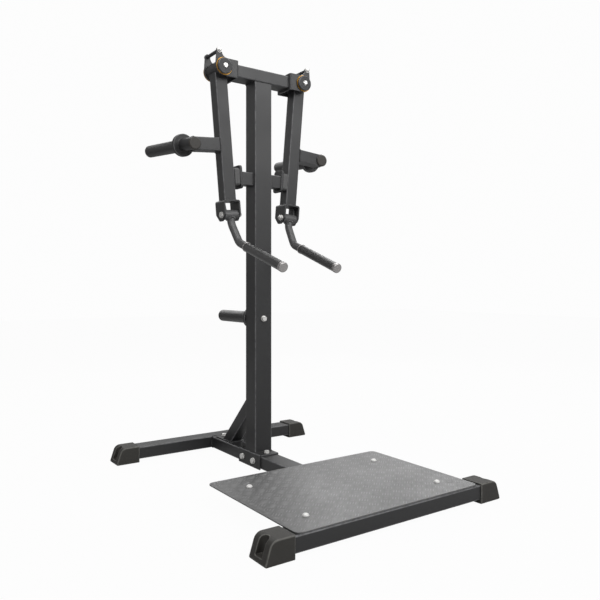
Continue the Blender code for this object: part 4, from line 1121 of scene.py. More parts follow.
class MACHINE_OT_base_frame(Operator):
    """Lay the cross tubes, the spine and the platform's bearers, with their welds"""

    bl_idname = "machine.base_frame"
    bl_label = "Base frame"

    def execute(self, context):
        section, rim = (BASE_TUBE_WIDTH, BASE_TUBE_HEIGHT), sizes().tube_rim
        for end, (half_span, y) in CROSS_TUBES.items():
            reach = 2 * (half_span - FOOT_POCKET_END - GAP)
            place = spot((0, y, BASE_TUBE_MIDDLE), DEPTH_ALONG_X)
            box_tube(f"{end}_tube", section, reach, place, f"{end}_cross_tube", rim)
        start, end = SPINE_LOW[1], SPINE_HIGH[1]
        place = spot((0, (start + end) / 2, BASE_TUBE_MIDDLE), DEPTH_ALONG_Y)
        box_tube("spine", section, end - start, place, "spine_tube", 0.0)
        outline = rectangle(*section, TUBE_CORNER)
        welds = [seam(outline, z, place) for z in ((end - start) / 2, (start - end) / 2)]
        bearer_start = FRONT_TUBE_Y + BASE_TUBE_WIDTH / 2 + GAP
        reach = BEARER_REAR - bearer_start
        outline = rectangle(BEARER_SIZE, BEARER_SIZE, TUBE_CORNER)
        for side, name in SIDE_NAMES.items():
            middle = (side * PLATFORM_BOLT_X, (bearer_start + BEARER_REAR) / 2)
            place = spot((*middle, BASE_TUBE_TOP - BEARER_SIZE / 2), DEPTH_ALONG_Y)
            tube = tubing(outline, -reach / 2, reach / 2, place, rim)
            plug = inset(outline, [TUBE_WALL - BEARER_PLUG_GAP])[0]
            plug = slab(plug, TUBE_WALL, BEARER_PLUG_GAP)
            plug = placed(plug, further(place, (reach - TUBE_WALL) / 2))
            dress(f"bearer_{name}", [tube, plug], "powder_coat", ROOT, f"platform_bearer_{name}")
            welds.append(seam(outline, reach / 2, place))
        dress("base_welds", welds, "powder_coat", ROOT)
        return {"FINISHED"}


def foot_shell(side, half_span, y):
    """The foot's side view, carried across its width, with rounded rims."""
    inner = half_span - FOOT_LENGTH
    top = half_span - FOOT_END_SLOPE * FOOT_HEIGHT
    corners = [(inner, 0), (half_span, 0), (top, FOOT_HEIGHT), (inner, FOOT_HEIGHT)]
    outline = rounded(corners, [0, FOOT_TOE_CORNER, FOOT_TOP_CORNER, 0], 10)
    outline[:, 0] *= side
    return sheet(outline, FOOT_WIDTH, FOOT_EDGE, spot((0, y, 0), DEPTH_ALONG_Y), 5)


class MACHINE_OT_feet(Operator):
    """Mould the four rubber feet over the ends of the cross tubes"""

    bl_idname = "machine.feet"
    bl_label = "Rubber feet"

    def execute(self, context):
        for end, (half_span, y) in CROSS_TUBES.items():
            for side, side_name in SIDE_NAMES.items():
                self.mould(f"{end}_{side_name}", side, half_span, y)
        return {"FINISHED"}

    def mould(self, name, side, half_span, y):
        pocket_end = half_span - FOOT_POCKET_END
        reach = pocket_end - half_span + FOOT_LENGTH + FOOT_CUTTER_PAST
        section = rectangle(BASE_TUBE_WIDTH + 2 * GAP, BASE_TUBE_HEIGHT + 2 * GAP, TUBE_CORNER)
        place = spot((side * (pocket_end - reach / 2), y, BASE_TUBE_MIDDLE), DEPTH_ALONG_X)
        pocket = sheet(section, reach, 0, place)
        mouth, radius = half_span + FOOT_CUTTER_PAST, FOOT_RECESS_RADIUS
        round_end = arc((half_span - FOOT_RECESS_REACH, 0), radius, 90, 270, 24)
        recess = np.concatenate([round_end, [(mouth, -radius), (mouth, radius)]])
        recess[:, 0] *= side
        middle = FOOT_RECESS_FLOOR + FOOT_RECESS_CUT / 2
        hollow = sheet(recess, FOOT_RECESS_CUT, 0, spot((0, y, middle)))
        cuts = [("DIFFERENCE", [pocket]), ("DIFFERENCE", [hollow])]
        shell = foot_shell(side, half_span, y)
        mesh = carved("foot", [shell], cuts, voxel=sizes().foot_voxel, smoothing=FOOT_SMOOTHING)
        dress(f"rubber_foot_{name}", mesh, "foot_rubber", ROOT, f"foot_{name}", sharp=80)


# Standing platform


def tread_bars():
    """The raised bars of the tread: squares of four parallel bars, each turned from the next.

    A bar is a stretched ten-sided dome; all of them are one array of rings, copied to every place.
    """
    cell, height = sizes().tread_cell, sizes().tread_height
    angles = np.arange(BAR_SIDES) * (2 * math.pi / BAR_SIDES)
    pinch = 1 - BAR_PINCH * np.abs(np.cos(angles)) ** 4
    half = np.array([sizes().tread_bar, sizes().tread_width]) / 2
    plan = half * np.stack([np.cos(angles), np.sin(angles) * pinch], axis=1)
    levels = (-BAR_SINK, height * BAR_SHOULDER, height)
    rings = zip(BAR_RINGS, levels)
    bar = np.stack([np.column_stack([plan * share, np.full(BAR_SIDES, z)]) for share, z in rings])
    row = np.arange(-TREAD_CELLS, TREAD_CELLS)
    cells = np.stack(np.meshgrid(row, row), -1).reshape(-1, 2)
    across = (np.arange(BARS_IN_CELL) - (BARS_IN_CELL - 1) / 2) * cell / BARS_IN_CELL
    turned_cell = (cells.sum(axis=1) % 2).astype(bool)
    offsets = np.zeros((len(cells), BARS_IN_CELL, 2))
    offsets[~turned_cell, :, 1] = across
    offsets[turned_cell, :, 0] = across
    middle = ((cells[:, None] + 0.5) * cell + offsets).reshape(-1, 2)
    flip = np.repeat(turned_cell, BARS_IN_CELL)
    lean = (math.cos(TREAD_LEAN), math.sin(TREAD_LEAN))
    turn = np.array([[lean[0], -lean[1]], [lean[1], lean[0]]])
    centre = middle @ turn.T
    half_plate = np.array([PLATFORM_HALF_WIDTH, (PLATFORM_REAR - PLATFORM_FRONT) / 2])
    inside = np.all(np.abs(centre) < half_plate - TREAD_MARGIN, axis=1)
    corner = np.maximum(np.abs(centre) - (half_plate - PLATFORM_CORNER), 0)
    inside &= np.linalg.norm(corner, axis=1) < PLATFORM_CORNER - TREAD_MARGIN
    y_middle = (PLATFORM_REAR + PLATFORM_FRONT) / 2
    for x in (-PLATFORM_BOLT_X, PLATFORM_BOLT_X):
        for y in PLATFORM_BOLT_Y.values():
            away = np.linalg.norm(centre - (x, y - y_middle), axis=1)
            inside &= away > TREAD_BOLT_MARGIN
    centre, flip = centre[inside], flip[inside]
    along = np.where(flip[:, None], turn @ (0, 1), turn @ (1, 0))
    sideways = np.stack([-along[:, 1], along[:, 0]], axis=1)
    flat = (
        centre[:, None, None]
        + bar[None, :, :, :1] * along[:, None, None]
        + bar[None, :, :, 1:2] * sideways[:, None, None]
    )
    heights = np.broadcast_to(bar[None, :, :, 2:], (*flat.shape[:3], 1))
    return np.concatenate([flat, heights], axis=3)


def bar_faces(count):
    """Faces of every tread bar at once: sides between its three rings, a top and a bottom."""
    corners = len(BAR_RINGS) * BAR_SIDES
    index = np.arange(corners).reshape(-1, BAR_SIDES)
    quads = np.stack(
        [index[:-1], np.roll(index[:-1], -1, axis=1), np.roll(index[1:], -1, axis=1), index[1:]],
        axis=2,
    ).reshape(-1, 4)
    starts = (np.arange(count) * corners)[:, None, None]
    faces = (starts + quads).reshape(-1, 4).tolist()
    caps = (starts + np.stack([index[-1], index[0, ::-1]])).reshape(-1, BAR_SIDES).tolist()
    return faces + caps


class MACHINE_OT_platform(Operator):
    """Cut the tread plate and set its four domed bolts"""

    bl_idname = "machine.platform"
    bl_label = "Standing platform"

    def execute(self, context):
        middle = (PLATFORM_FRONT + PLATFORM_REAR) / 2
        depth = PLATFORM_REAR - PLATFORM_FRONT
        outline = rectangle(2 * PLATFORM_HALF_WIDTH, depth, PLATFORM_CORNER, 12)
        place = spot((0, middle, PLATE_BOTTOM + PLATFORM_THICKNESS / 2))
        plate = sheet(outline, PLATFORM_THICKNESS, THIN_RIM, place)
        top = PLATE_BOTTOM + PLATFORM_THICKNESS
        bars = tread_bars()
        tread = (moved(bars.reshape(-1, 3), spot((0, middle, top))), bar_faces(len(bars)))
        dress("tread_plate", [plate, tread], "tread_plate", ROOT, "platform_plate", sharp=70)
        dome = arc((0, 0), 1, 90, 0, 8) * PLATFORM_BOLT_HEAD
        dome[0, 0] = PLATFORM_BOLT_POLE
        stem, low = PLATFORM_BOLT_STEM[0], -PLATFORM_BOLT_STEM[1]
        profile = np.concatenate([dome, [(stem, 0), (stem, low), (PLATFORM_BOLT_POLE, low)]])
        for side, side_name in SIDE_NAMES.items():
            for end, y in PLATFORM_BOLT_Y.items():
                corner = f"{end}_{side_name}"
                bolt = lathed(profile, spot((side * PLATFORM_BOLT_X, y, top + GAP)))
                dress(f"domed_bolt_{corner}", [bolt], "bright_zinc", ROOT, f"platform_bolt_{corner}")
        return {"FINISHED"}


# Post and saddle


class MACHINE_OT_post(Operator):
    """Stand the post on its saddle, with the saddle's bolts and the post's welds"""

    bl_idname = "machine.post"
    bl_label = "Post and saddle"

    def execute(self, context):
        self.saddle()
        bottom, top = POST_LOW[2], POST_HIGH[2]
        outline = rectangle(POST_SIZE, POST_SIZE, POST_CORNER, 6)
        place = spot((0, POST_Y, 0))
        post = tubing(outline, bottom, top, place, sizes().tube_rim)
        dress("post", [post], "powder_coat", ROOT, "upright_post")
        welds = [seam(outline, height, place) for height in (bottom, top)]
        bar = rectangle(STOP_BAR_SIZE, STOP_BAR_SIZE, ARM_CORNER)
        window = spot((0, POST_Y, STOP_BAR_Z), DEPTH_ALONG_X)
        welds += [seam(bar, side * POST_SIZE / 2, window) for side in (LEFT, RIGHT)]
        dress("post_welds", welds, "powder_coat", ROOT)
        return {"FINISHED"}

    def saddle(self):
        """A bent channel, a flange ahead of it and a raised heel behind the post."""
        top = SADDLE_TOP
        inner = BASE_TUBE_WIDTH / 2 + GAP
        outer = inner + SADDLE_THICKNESS
        corners = [
            (outer, SADDLE_SIDE_BOTTOM),
            (outer, top),
            (-outer, top),
            (-outer, SADDLE_SIDE_BOTTOM),
            (-inner, SADDLE_SIDE_BOTTOM),
            (-inner, PLATE_BOTTOM),
            (inner, PLATE_BOTTOM),
            (inner, SADDLE_SIDE_BOTTOM),
        ]
        radii = [SADDLE_CUT, SADDLE_BEND, SADDLE_BEND, SADDLE_CUT]
        radii += [SADDLE_CUT, SADDLE_INNER_BEND, SADDLE_INNER_BEND, SADDLE_CUT]
        middle = (SADDLE_REAR + SADDLE_SIDE_FRONT) / 2
        channel = slab(rounded(corners, radii), SADDLE_REAR - SADDLE_SIDE_FRONT, SADDLE_RIM)
        shells = [placed(channel, spot((0, middle, 0), DEPTH_ALONG_Y))]
        reach, wide = POST_Y - SADDLE_FRONT, FLANGE_HALF_WIDTH
        corners = [(-wide, -reach), (wide, -reach), (wide, 0), (-wide, 0)]
        flange = rounded(corners, [FLANGE_CORNER, FLANGE_CORNER, 0, 0], 6)
        place = spot((0, POST_Y, (PLATE_BOTTOM + top) / 2))
        shells.append(sheet(flange, SADDLE_THICKNESS - GAP, THIN_RIM, place))
        start = POST_Y + POST_SIZE / 2 + GAP
        depth = SADDLE_REAR - HEEL_REAR_STEP - start
        plan = rectangle(2 * HEEL_HALF_WIDTH, depth, HEEL_CORNER, 4)
        heel = slab(plan, HEEL_HEIGHT + HEEL_SINK, HEEL_EDGE, 5)
        place = spot((0, start + depth / 2, top + (HEEL_HEIGHT - HEEL_SINK) / 2))
        shells.append(placed(heel, place))
        dress("saddle", shells, "powder_coat", ROOT, "post_saddle")
        across = outer + GAP
        for end, y in SADDLE_BOLT_Y.items():
            left = spot((-across, y, SADDLE_BOLT_Z), AXIS_LEFT)
            right = spot((across, y, SADDLE_BOLT_Z), AXIS_RIGHT)
            bolt = hexagon_bolt(left, SADDLE_HEAD, 0.3) + hexagon_bolt(right, SADDLE_HEAD, 0.9)
            bolt.append(shank(right, SADDLE_SHANK, -2 * across - SHANK_SINK, SADDLE_SHANK_PAST))
            dress(f"through_bolt_{end}", bolt, "bright_zinc", ROOT, f"saddle_bolt_{end}")
        place = spot((0, SADDLE_FLANGE_BOLT_Y, top + GAP))
        dress("flange_bolt", plate_bolt(place, 0.5), "bright_zinc", ROOT, "saddle_flange_bolt")


class MACHINE_OT_brace(Operator):
    """Lean the brace from the spine to the post, on its bolted foot plate"""

    bl_idname = "machine.brace"
    bl_label = "Rear brace"

    def execute(self, context):
        face = POST_Y + POST_SIZE / 2 + GAP
        foot_y = face + BRACE_POST_HEIGHT - SADDLE_TOP
        middle = (0, (face + foot_y) / 2, (BRACE_POST_HEIGHT + SADDLE_TOP) / 2)
        place = spot(middle, (math.pi / 4, 0, 0))
        half = (BRACE_POST_HEIGHT - SADDLE_TOP) / math.sqrt(2)
        outline = rectangle(BRACE_SIZE, BRACE_SIZE, BRACE_CORNER)

        def lower_end(x, y):
            return -half - y

        def upper_end(x, y):
            return half + y

        tube = tubing(outline, lower_end, upper_end, place)
        depth = BRACE_PLATE_REAR - BRACE_PLATE_FRONT
        plan = rectangle(BRACE_SOLE_WIDTH, depth, BRACE_SOLE_CORNER, 6)
        middle = (0, (BRACE_PLATE_REAR + BRACE_PLATE_FRONT) / 2, (PLATE_BOTTOM + SADDLE_TOP) / 2)
        sole = sheet(plan, SADDLE_THICKNESS, THIN_RIM, spot(middle))
        dress("brace", [tube, sole], "powder_coat", ROOT, "rear_brace")
        welds = [seam(outline, end, place) for end in (lower_end, upper_end)]
        dress("brace_welds", welds, "powder_coat", ROOT)
        place = spot((0, BRACE_BOLT_Y, SADDLE_TOP + GAP))
        dress("brace_bolt", plate_bolt(place, 0.2), "bright_zinc", ROOT, "rear_brace_bolt")
        return {"FINISHED"}


# Plate horns


def horn_profile(reach, collar_start, base):
    """A hollow horn with its collar; a weld fillet fills the corner on each side of the collar."""
    collar_end = collar_start + COLLAR_THICKNESS
    edge, fillet = COLLAR_EDGE, COLLAR_FILLET
    outside = [(HORN_RADIUS, reach)]
    outside += list(arc((HORN_RADIUS + fillet, collar_end + fillet), fillet, 180, 270, 5))
    outside += list(arc((COLLAR_RADIUS - edge, collar_end - edge), edge, 90, 0, 5))
    outside += list(arc((COLLAR_RADIUS - edge, collar_start + edge), edge, 0, -90, 5))
    bore = HORN_RADIUS - HORN_WALL
    if base:
        hole, floor = HORN_BASE_HOLE, HORN_BASE_THICKNESS
        return np.array(outside + [(hole, 0), (hole, floor), (bore, floor), (bore, reach)])
    outside += list(arc((HORN_RADIUS + fillet, collar_start - fillet), fillet, 90, 180, 5))
    return np.array(outside + [(HORN_RADIUS, 0), (bore, 0), (bore, reach)])


def cap_profile():
    """A plug's rounded head and its spigot."""
    edge, low = HORN_CAP_EDGE, -HORN_CAP_SPIGOT
    head = arc((HORN_RADIUS - edge, HORN_CAP_LENGTH - edge), edge, 90, 0, 8)
    spigot = HORN_RADIUS - HORN_WALL - GAP
    stem = [(HORN_RADIUS, GAP), (spigot, GAP), (spigot, low), (HORN_CAP_POLE, low)]
    return np.concatenate([[(HORN_CAP_POLE, HORN_CAP_LENGTH)], head, stem])


class MACHINE_OT_storage_horn(Operator):
    """Bolt the plate storage horn behind the post"""

    bl_idname = "machine.storage_horn"
    bl_label = "Storage horn"

    def execute(self, context):
        start = POST_Y + POST_SIZE / 2 + GAP
        reach = STORAGE_HORN_END - HORN_CAP_LENGTH
        place = spot((0, start, STORAGE_HORN_Z), AXIS_REAR)
        horn = lathed(horn_profile(reach, 0, True), place, 96, True)
        dress("storage_peg", [horn], "powder_coat", ROOT, "storage_horn")
        cap = lathed(cap_profile(), further(place, reach), 96)
        dress("storage_peg_cap", [cap], "cap_plastic", ROOT, "storage_horn_cap")
        place = spot((0, POST_Y - POST_SIZE / 2 - GAP, STORAGE_HORN_Z), AXIS_FRONT)
        bolt = hexagon_bolt(place, SADDLE_HEAD, 0.4)
        bolt.append(shank(place, SADDLE_SHANK, -POST_SIZE - HORN_SHANK_PAST, SHANK_SINK))
        dress("storage_peg_bolt", bolt, "zinc", ROOT, "storage_horn_bolt")
        return {"FINISHED"}


class MACHINE_OT_weight_horns(Operator):
    """Reach the outriggers out from the arms and weld the plate horns to them"""

    bl_idname = "machine.weight_horns"
    bl_label = "Weight horns"

    def execute(self, context):
        for side, name in SIDE_NAMES.items():
            arm = arm_place(side)
            body = f"{name}_arm"
            turn = (-math.pi / 2 + WEIGHT_HORN_RISE, 0, -side * WEIGHT_HORN_SPLAY)
            front = (side * WEIGHT_HORN_OUT, WEIGHT_HORN_FRONT_Y, -WEIGHT_HORN_DOWN)
            axis = spot(front, turn, arm)
            reach = WEIGHT_HORN_LENGTH - 2 * HORN_CAP_LENGTH
            profile = horn_profile(reach, WEIGHT_HORN_COLLAR - HORN_CAP_LENGTH, False)
            horn = lathed(profile, further(axis, HORN_CAP_LENGTH), 96, True)
            dress(f"weight_peg_{name}", [horn], "powder_coat", body, f"weight_horn_{name}")
            for end, place in (
                ("rear", further(axis, HORN_CAP_LENGTH + reach)),
                ("front", further(axis, HORN_CAP_LENGTH, back=True)),
            ):
                cap = lathed(cap_profile(), place, 96)
                dress(f"peg_cap_{end}_{name}", [cap], "cap_plastic", body, f"horn_cap_{end}_{name}")
            self.outrigger(side, name, arm, spot(front, turn))
        return {"FINISHED"}

    def outrigger(self, side, name, arm, axis):
        """The tube's end is where a line along it first meets the horn: x0 - sqrt(r^2 - d^2)."""
        place = spot((0, 0, -OUTRIGGER_DOWN), (math.pi / 2, 0, side * math.pi / 2))
        inverse = place.inverted() @ axis
        origin = np.array(inverse.translation)
        along = np.array(inverse.to_3x3().col[2])

        def far_end(x, y):
            away = np.stack([x - origin[0], y - origin[1], np.full(x.shape, -origin[2])], axis=-1)
            step = np.array([0.0, 0.0, 1.0])
            a = step @ step - (step @ along) ** 2
            dot = away @ along
            b = away @ step - dot * (step @ along)
            c = np.sum(away * away, axis=-1) - dot**2 - HORN_COPE**2
            return (-b - np.sqrt(np.maximum(b * b - a * c, 0))) / a

        outline = subdivided(rectangle(ARM_TUBE, ARM_TUBE, ARM_CORNER), 6)
        start = ARM_TUBE / 2 + GAP
        whole = arm @ place
        tube = tubing(outline, start, far_end, whole)
        dress(f"outrigger_{name}", [tube], "powder_coat", f"{name}_arm", f"outrigger_tube_{name}")
        welds = [seam(outline, start, whole), seam(outline, far_end, whole, share=0.85)]
        dress(f"outrigger_welds_{name}", welds, "powder_coat", f"{name}_arm")


# Top of the machine


def bracket_side_outline():
    """A flange seen from the front: a full round about the pivot, and an ear above it."""
    web = BRACKET_WEB_X - PIVOT_X
    ear = (EAR_OUT, EAR_UP)
    lean = math.degrees(math.atan2(EAR_UP, EAR_OUT))
    tangent = lean - math.degrees(math.acos((BRACKET_HALF_HEIGHT - EAR_RADIUS) / math.hypot(*ear)))
    fillet_up = BRACKET_HALF_HEIGHT + EAR_FILLET
    rise = EAR_UP - fillet_up
    fillet_out = EAR_OUT - math.sqrt((EAR_RADIUS + EAR_FILLET) ** 2 - rise**2)
    meet = math.degrees(math.asin(rise / (EAR_RADIUS + EAR_FILLET)))
    return np.concatenate(
        [
            [(web, -BRACKET_HALF_HEIGHT)],
            arc((0, 0), BRACKET_HALF_HEIGHT, -90, tangent, 28),
            arc(ear, EAR_RADIUS, tangent, 180 + meet, 20),
            arc((fillet_out, fillet_up), EAR_FILLET, meet, -90, 14)[1:],
            [(web, BRACKET_HALF_HEIGHT)],
        ]
    )


class MACHINE_OT_top(Operator):
    """Lay the top beam and hang the pivot brackets from its ends, with bushes and stop rods"""

    bl_idname = "machine.top"
    bl_label = "Top beam and brackets"

    def execute(self, context):
        reach = 2 * (BRACKET_WEB_X - GAP)
        place = spot((0, POST_Y, PIVOT_Z), DEPTH_ALONG_X)
        section = (POST_SIZE, BEAM_HEIGHT)
        box_tube("beam", section, reach, place, "top_beam", 0.0)
        outline = rectangle(*section, TUBE_CORNER)
        welds = [seam(outline, side * reach / 2, place) for side in (LEFT, RIGHT)]
        dress("beam_welds", welds, "powder_coat", ROOT)
        for side, name in SIDE_NAMES.items():
            where = (side * PIVOT_X, POST_Y, PIVOT_Z)
            self.bracket(side, name, where)
            self.bushes(name, where)
            ear = (where[0] + side * EAR_OUT, POST_Y, PIVOT_Z + EAR_UP)
            self.stop_rod(name, spot(ear, AXIS_FRONT))
        return {"FINISHED"}

    def bracket(self, side, name, where):
        """The flange's outline carried through the machine's depth, kept only where the bent
        plate's plan is, with a bore for the bushes and a hole for the stop rod."""
        flange = bracket_side_outline()
        flange[:, 0] *= side
        web = BRACKET_WEB_X - PIVOT_X
        inner_web = web + BRACKET_PLATE
        outer, inner = BRACKET_HALF_DEPTH, BRACKET_HALF_DEPTH - BRACKET_PLATE
        tip = BRACKET_HALF_HEIGHT + TRIM_PAST
        corners = [
            (web, -outer),
            (tip, -outer),
            (tip, -inner),
            (inner_web, -inner),
            (inner_web, inner),
            (tip, inner),
            (tip, outer),
            (web, outer),
        ]
        radii = [BRACKET_BEND, 0, 0, BRACKET_INNER_BEND, BRACKET_INNER_BEND, 0, 0, BRACKET_BEND]
        plan = rounded(corners, radii, 10)
        plan[:, 0] *= side
        ear = spot((where[0] + side * EAR_OUT, where[1], where[2] + EAR_UP), AXIS_REAR)
        steps = [
            ("INTERSECT", [sheet(plan, 3 * CUTTER_REACH, 0, spot(where))]),
            ("DIFFERENCE", [drill(BUSH_BARREL_RADIUS + GAP, spot(where, AXIS_REAR), 96)]),
            ("DIFFERENCE", [drill(STOP_ROD_HOLE, ear, 32)]),
        ]
        solid = sheet(flange, 2 * outer + TRIM_PAST, 0, spot(where, DEPTH_ALONG_Y))
        mesh = carved("bracket", [solid], steps, bevel=sizes().rim)
        dress(f"bracket_{name}", mesh, "powder_coat", ROOT, f"pivot_bracket_{name}", sharp=50)

    def bushes(self, name, where):
        flange = BRACKET_HALF_DEPTH + GAP
        inner = BRACKET_HALF_DEPTH - BRACKET_PLATE
        bore = PIN_RADIUS + BUSH_FIT
        profile = softened(
            [
                (BUSH_FLANGE_RADIUS, flange + BUSH_FLANGE),
                (BUSH_FLANGE_RADIUS, flange),
                (BUSH_BARREL_RADIUS, flange),
                (BUSH_BARREL_RADIUS, inner),
                (bore, inner),
                (bore, flange + BUSH_FLANGE),
            ],
            BUSH_EDGE,
            True,
        )
        for end, turn in (("front", AXIS_FRONT), ("rear", AXIS_REAR)):
            bush = lathed(profile, spot(where, turn), 120, True)
            dress(f"bush_{end}_{name}", [bush], "bronze", ROOT, f"pivot_bush_{end}_{name}")

    def stop_rod(self, name, place):
        """A spacer between the ears, black at the rear, with a plated cap nut in front."""
        inner = BRACKET_HALF_DEPTH - BRACKET_PLATE - GAP
        outer = BRACKET_HALF_DEPTH + GAP
        stem, wide = STOP_ROD_STEM, STOP_ROD_RADIUS
        half = [(wide, inner), (stem, inner), (stem, outer + SHANK_SINK)]
        spacer = softened([(radius, -height) for radius, height in half[::-1]] + half, STOP_ROD_EDGE)
        head = bar_profile(STOP_ROD_HEAD[0], 0, STOP_ROD_HEAD[1], STOP_ROD_HEAD_EDGE, 5)
        shells = [lathed(spacer, place), lathed(head, further(place, -outer, back=True))]
        dress(f"stop_spacer_{name}", shells, "blackened_steel", ROOT, f"stop_rod_{name}")
        front = further(place, outer)
        dome = arc((0, 0), 1, 88, 0, 10) * STOP_NUT_DOME + (0, STOP_NUT_DOME_START)
        washer = bar_profile(STOP_NUT_WASHER[0], 0, STOP_NUT_WASHER[1], STOP_NUT_WASHER_EDGE)
        nut = [lathed(washer, front), lathed(dome, front)]
        dress(f"stop_nut_{name}", nut, "zinc", ROOT)


# Stop bar


class MACHINE_OT_stop_bar(Operator):
    """Carry the stop bar through the post, with the plates and pads that the arms rest on"""

    bl_idname = "machine.stop_bar"
    bl_label = "Stop bar"

    def execute(self, context):
        down = (PIVOT_Z - STOP_BAR_Z) / math.cos(ARM_TILT)
        pad_face = ARM_TUBE / 2 + GAP
        plate_face = pad_face + STOP_BLOCK_THICKNESS + GAP
        bar_place = spot((0, POST_Y, STOP_BAR_Z), DEPTH_ALONG_X)
        outline = rectangle(STOP_BAR_SIZE, STOP_BAR_SIZE, ARM_CORNER)
        plate = self.rest(RIGHT, down, plate_face + STOP_PLATE_THICKNESS / 2)
        plate_middle = abs(plate.translation[0])
        lean = math.tan(ARM_TILT)

        def right_end(x, y):
            return plate_middle - y * lean

        def left_end(x, y):
            return -right_end(x, y)

        shells = [tubing(outline, left_end, right_end, bar_place)]
        welds = []
        for side, name in SIDE_NAMES.items():
            place = self.rest(side, down, plate_face + STOP_PLATE_THICKNESS / 2)
            plan = rectangle(STOP_PLATE_DEPTH, STOP_PLATE_HEIGHT, STOP_PLATE_CORNER, 8)
            shells.append(sheet(plan, STOP_PLATE_THICKNESS, STOP_PLATE_RIM, place))
            pad = rectangle(STOP_BLOCK_DEPTH, STOP_BLOCK_HEIGHT, STOP_BLOCK_CORNER, 8)
            place = self.rest(side, down, pad_face + STOP_BLOCK_THICKNESS / 2)
            pad_shell = sheet(pad, STOP_BLOCK_THICKNESS, STOP_BLOCK_EDGE, place, 5)
            dress(f"stop_pad_{name}", [pad_shell], "buffer_rubber", ROOT, f"stop_block_{name}")
            back = self.rest(side, down, plate_face + STOP_PLATE_THICKNESS)
            welds.append(seam(outline, 0, back))
        dress("stop_beam", shells, "powder_coat", ROOT, "stop_crossbar")
        dress("stop_beam_welds", welds, "powder_coat", ROOT)
        return {"FINISHED"}

    def rest(self, side, down, inward):
        """A place inboard of an arm at rest, with Z along the pad's thickness."""
        return spot((-side * inward, 0, -down), DEPTH_ALONG_X, arm_place(side))


# Arms


class MACHINE_OT_arms(Operator):
    """Hang the arm tubes from their hubs and put the pins through them"""

    bl_idname = "machine.arms"
    bl_label = "Arms"

    def execute(self, context):
        for side, name in SIDE_NAMES.items():
            arm = arm_place(side)
            body = f"{name}_arm"
            outline = subdivided(rectangle(ARM_TUBE, ARM_TUBE, ARM_CORNER), 10)

            def under_hub(x, y):
                """The tube is coped to the hub: its end is at -sqrt(r^2 - x^2)."""
                return -np.sqrt(HUB_COPE**2 - x**2)

            tube = tubing(outline, -ARM_LENGTH, under_hub, arm)
            reach = HUB_HALF_LENGTH
            hub = ring_profile(HUB_RADIUS, PIN_RADIUS + GAP, -reach, reach, HUB_EDGE)
            hub = lathed(hub, spot((0, 0, 0), AXIS_REAR, arm), 96, True)
            dress(f"arm_{name}", [tube, hub], "powder_coat", body, f"arm_tube_{name}")
            welds = [seam(outline, under_hub, arm), seam(outline, -ARM_LENGTH, arm, share=0.9)]
            dress(f"arm_welds_{name}", welds, "powder_coat", body)
            self.pin(name, body, spot((0, 0, 0), AXIS_FRONT, arm))
        return {"FINISHED"}

    def pin(self, name, body, axis):
        """The pin with its end discs, and a plated bolt head in the middle of each disc."""
        disc = BRACKET_HALF_DEPTH + BUSH_FLANGE + 2 * GAP
        face = disc + FRONT_DISC
        edge, chamfer, radius = FRONT_DISC_EDGE, FRONT_DISC_CHAMFER, FRONT_DISC_RADIUS
        dish, back = face - DISC_DISH, -disc - REAR_DISC
        rear_edge, rear_chamfer, rear_radius = REAR_DISC_EDGE, REAR_DISC_CHAMFER, REAR_DISC_RADIUS
        profile = np.concatenate(
            [
                [(POLE, dish), (DISC_DISH_RADII[0], dish), (DISC_DISH_RADII[1], face)],
                arc((radius - edge, face - edge), edge, 90, 0, 10),
                [(radius, disc + chamfer), (radius - chamfer, disc)],
                [(PIN_RADIUS, disc), (PIN_RADIUS, -disc)],
                [(rear_radius - rear_chamfer, -disc), (rear_radius, -disc - rear_chamfer)],
                arc((rear_radius - rear_edge, back + rear_edge), rear_edge, 0, -90, 4),
                [(POLE, back)],
            ]
        )
        pin = lathed(profile, axis, 120)
        dress(f"pin_{name}", [pin], "blackened_steel", body, f"pivot_pin_{name}")
        bolts = hexagon_bolt(further(axis, dish), PIN_FRONT_HEAD, 0.25)
        bolts += hexagon_bolt(further(axis, back, back=True), PIN_REAR_HEAD, 0.1)
        dress(f"pin_bolts_{name}", bolts, "zinc", body)


# Clevises and handles


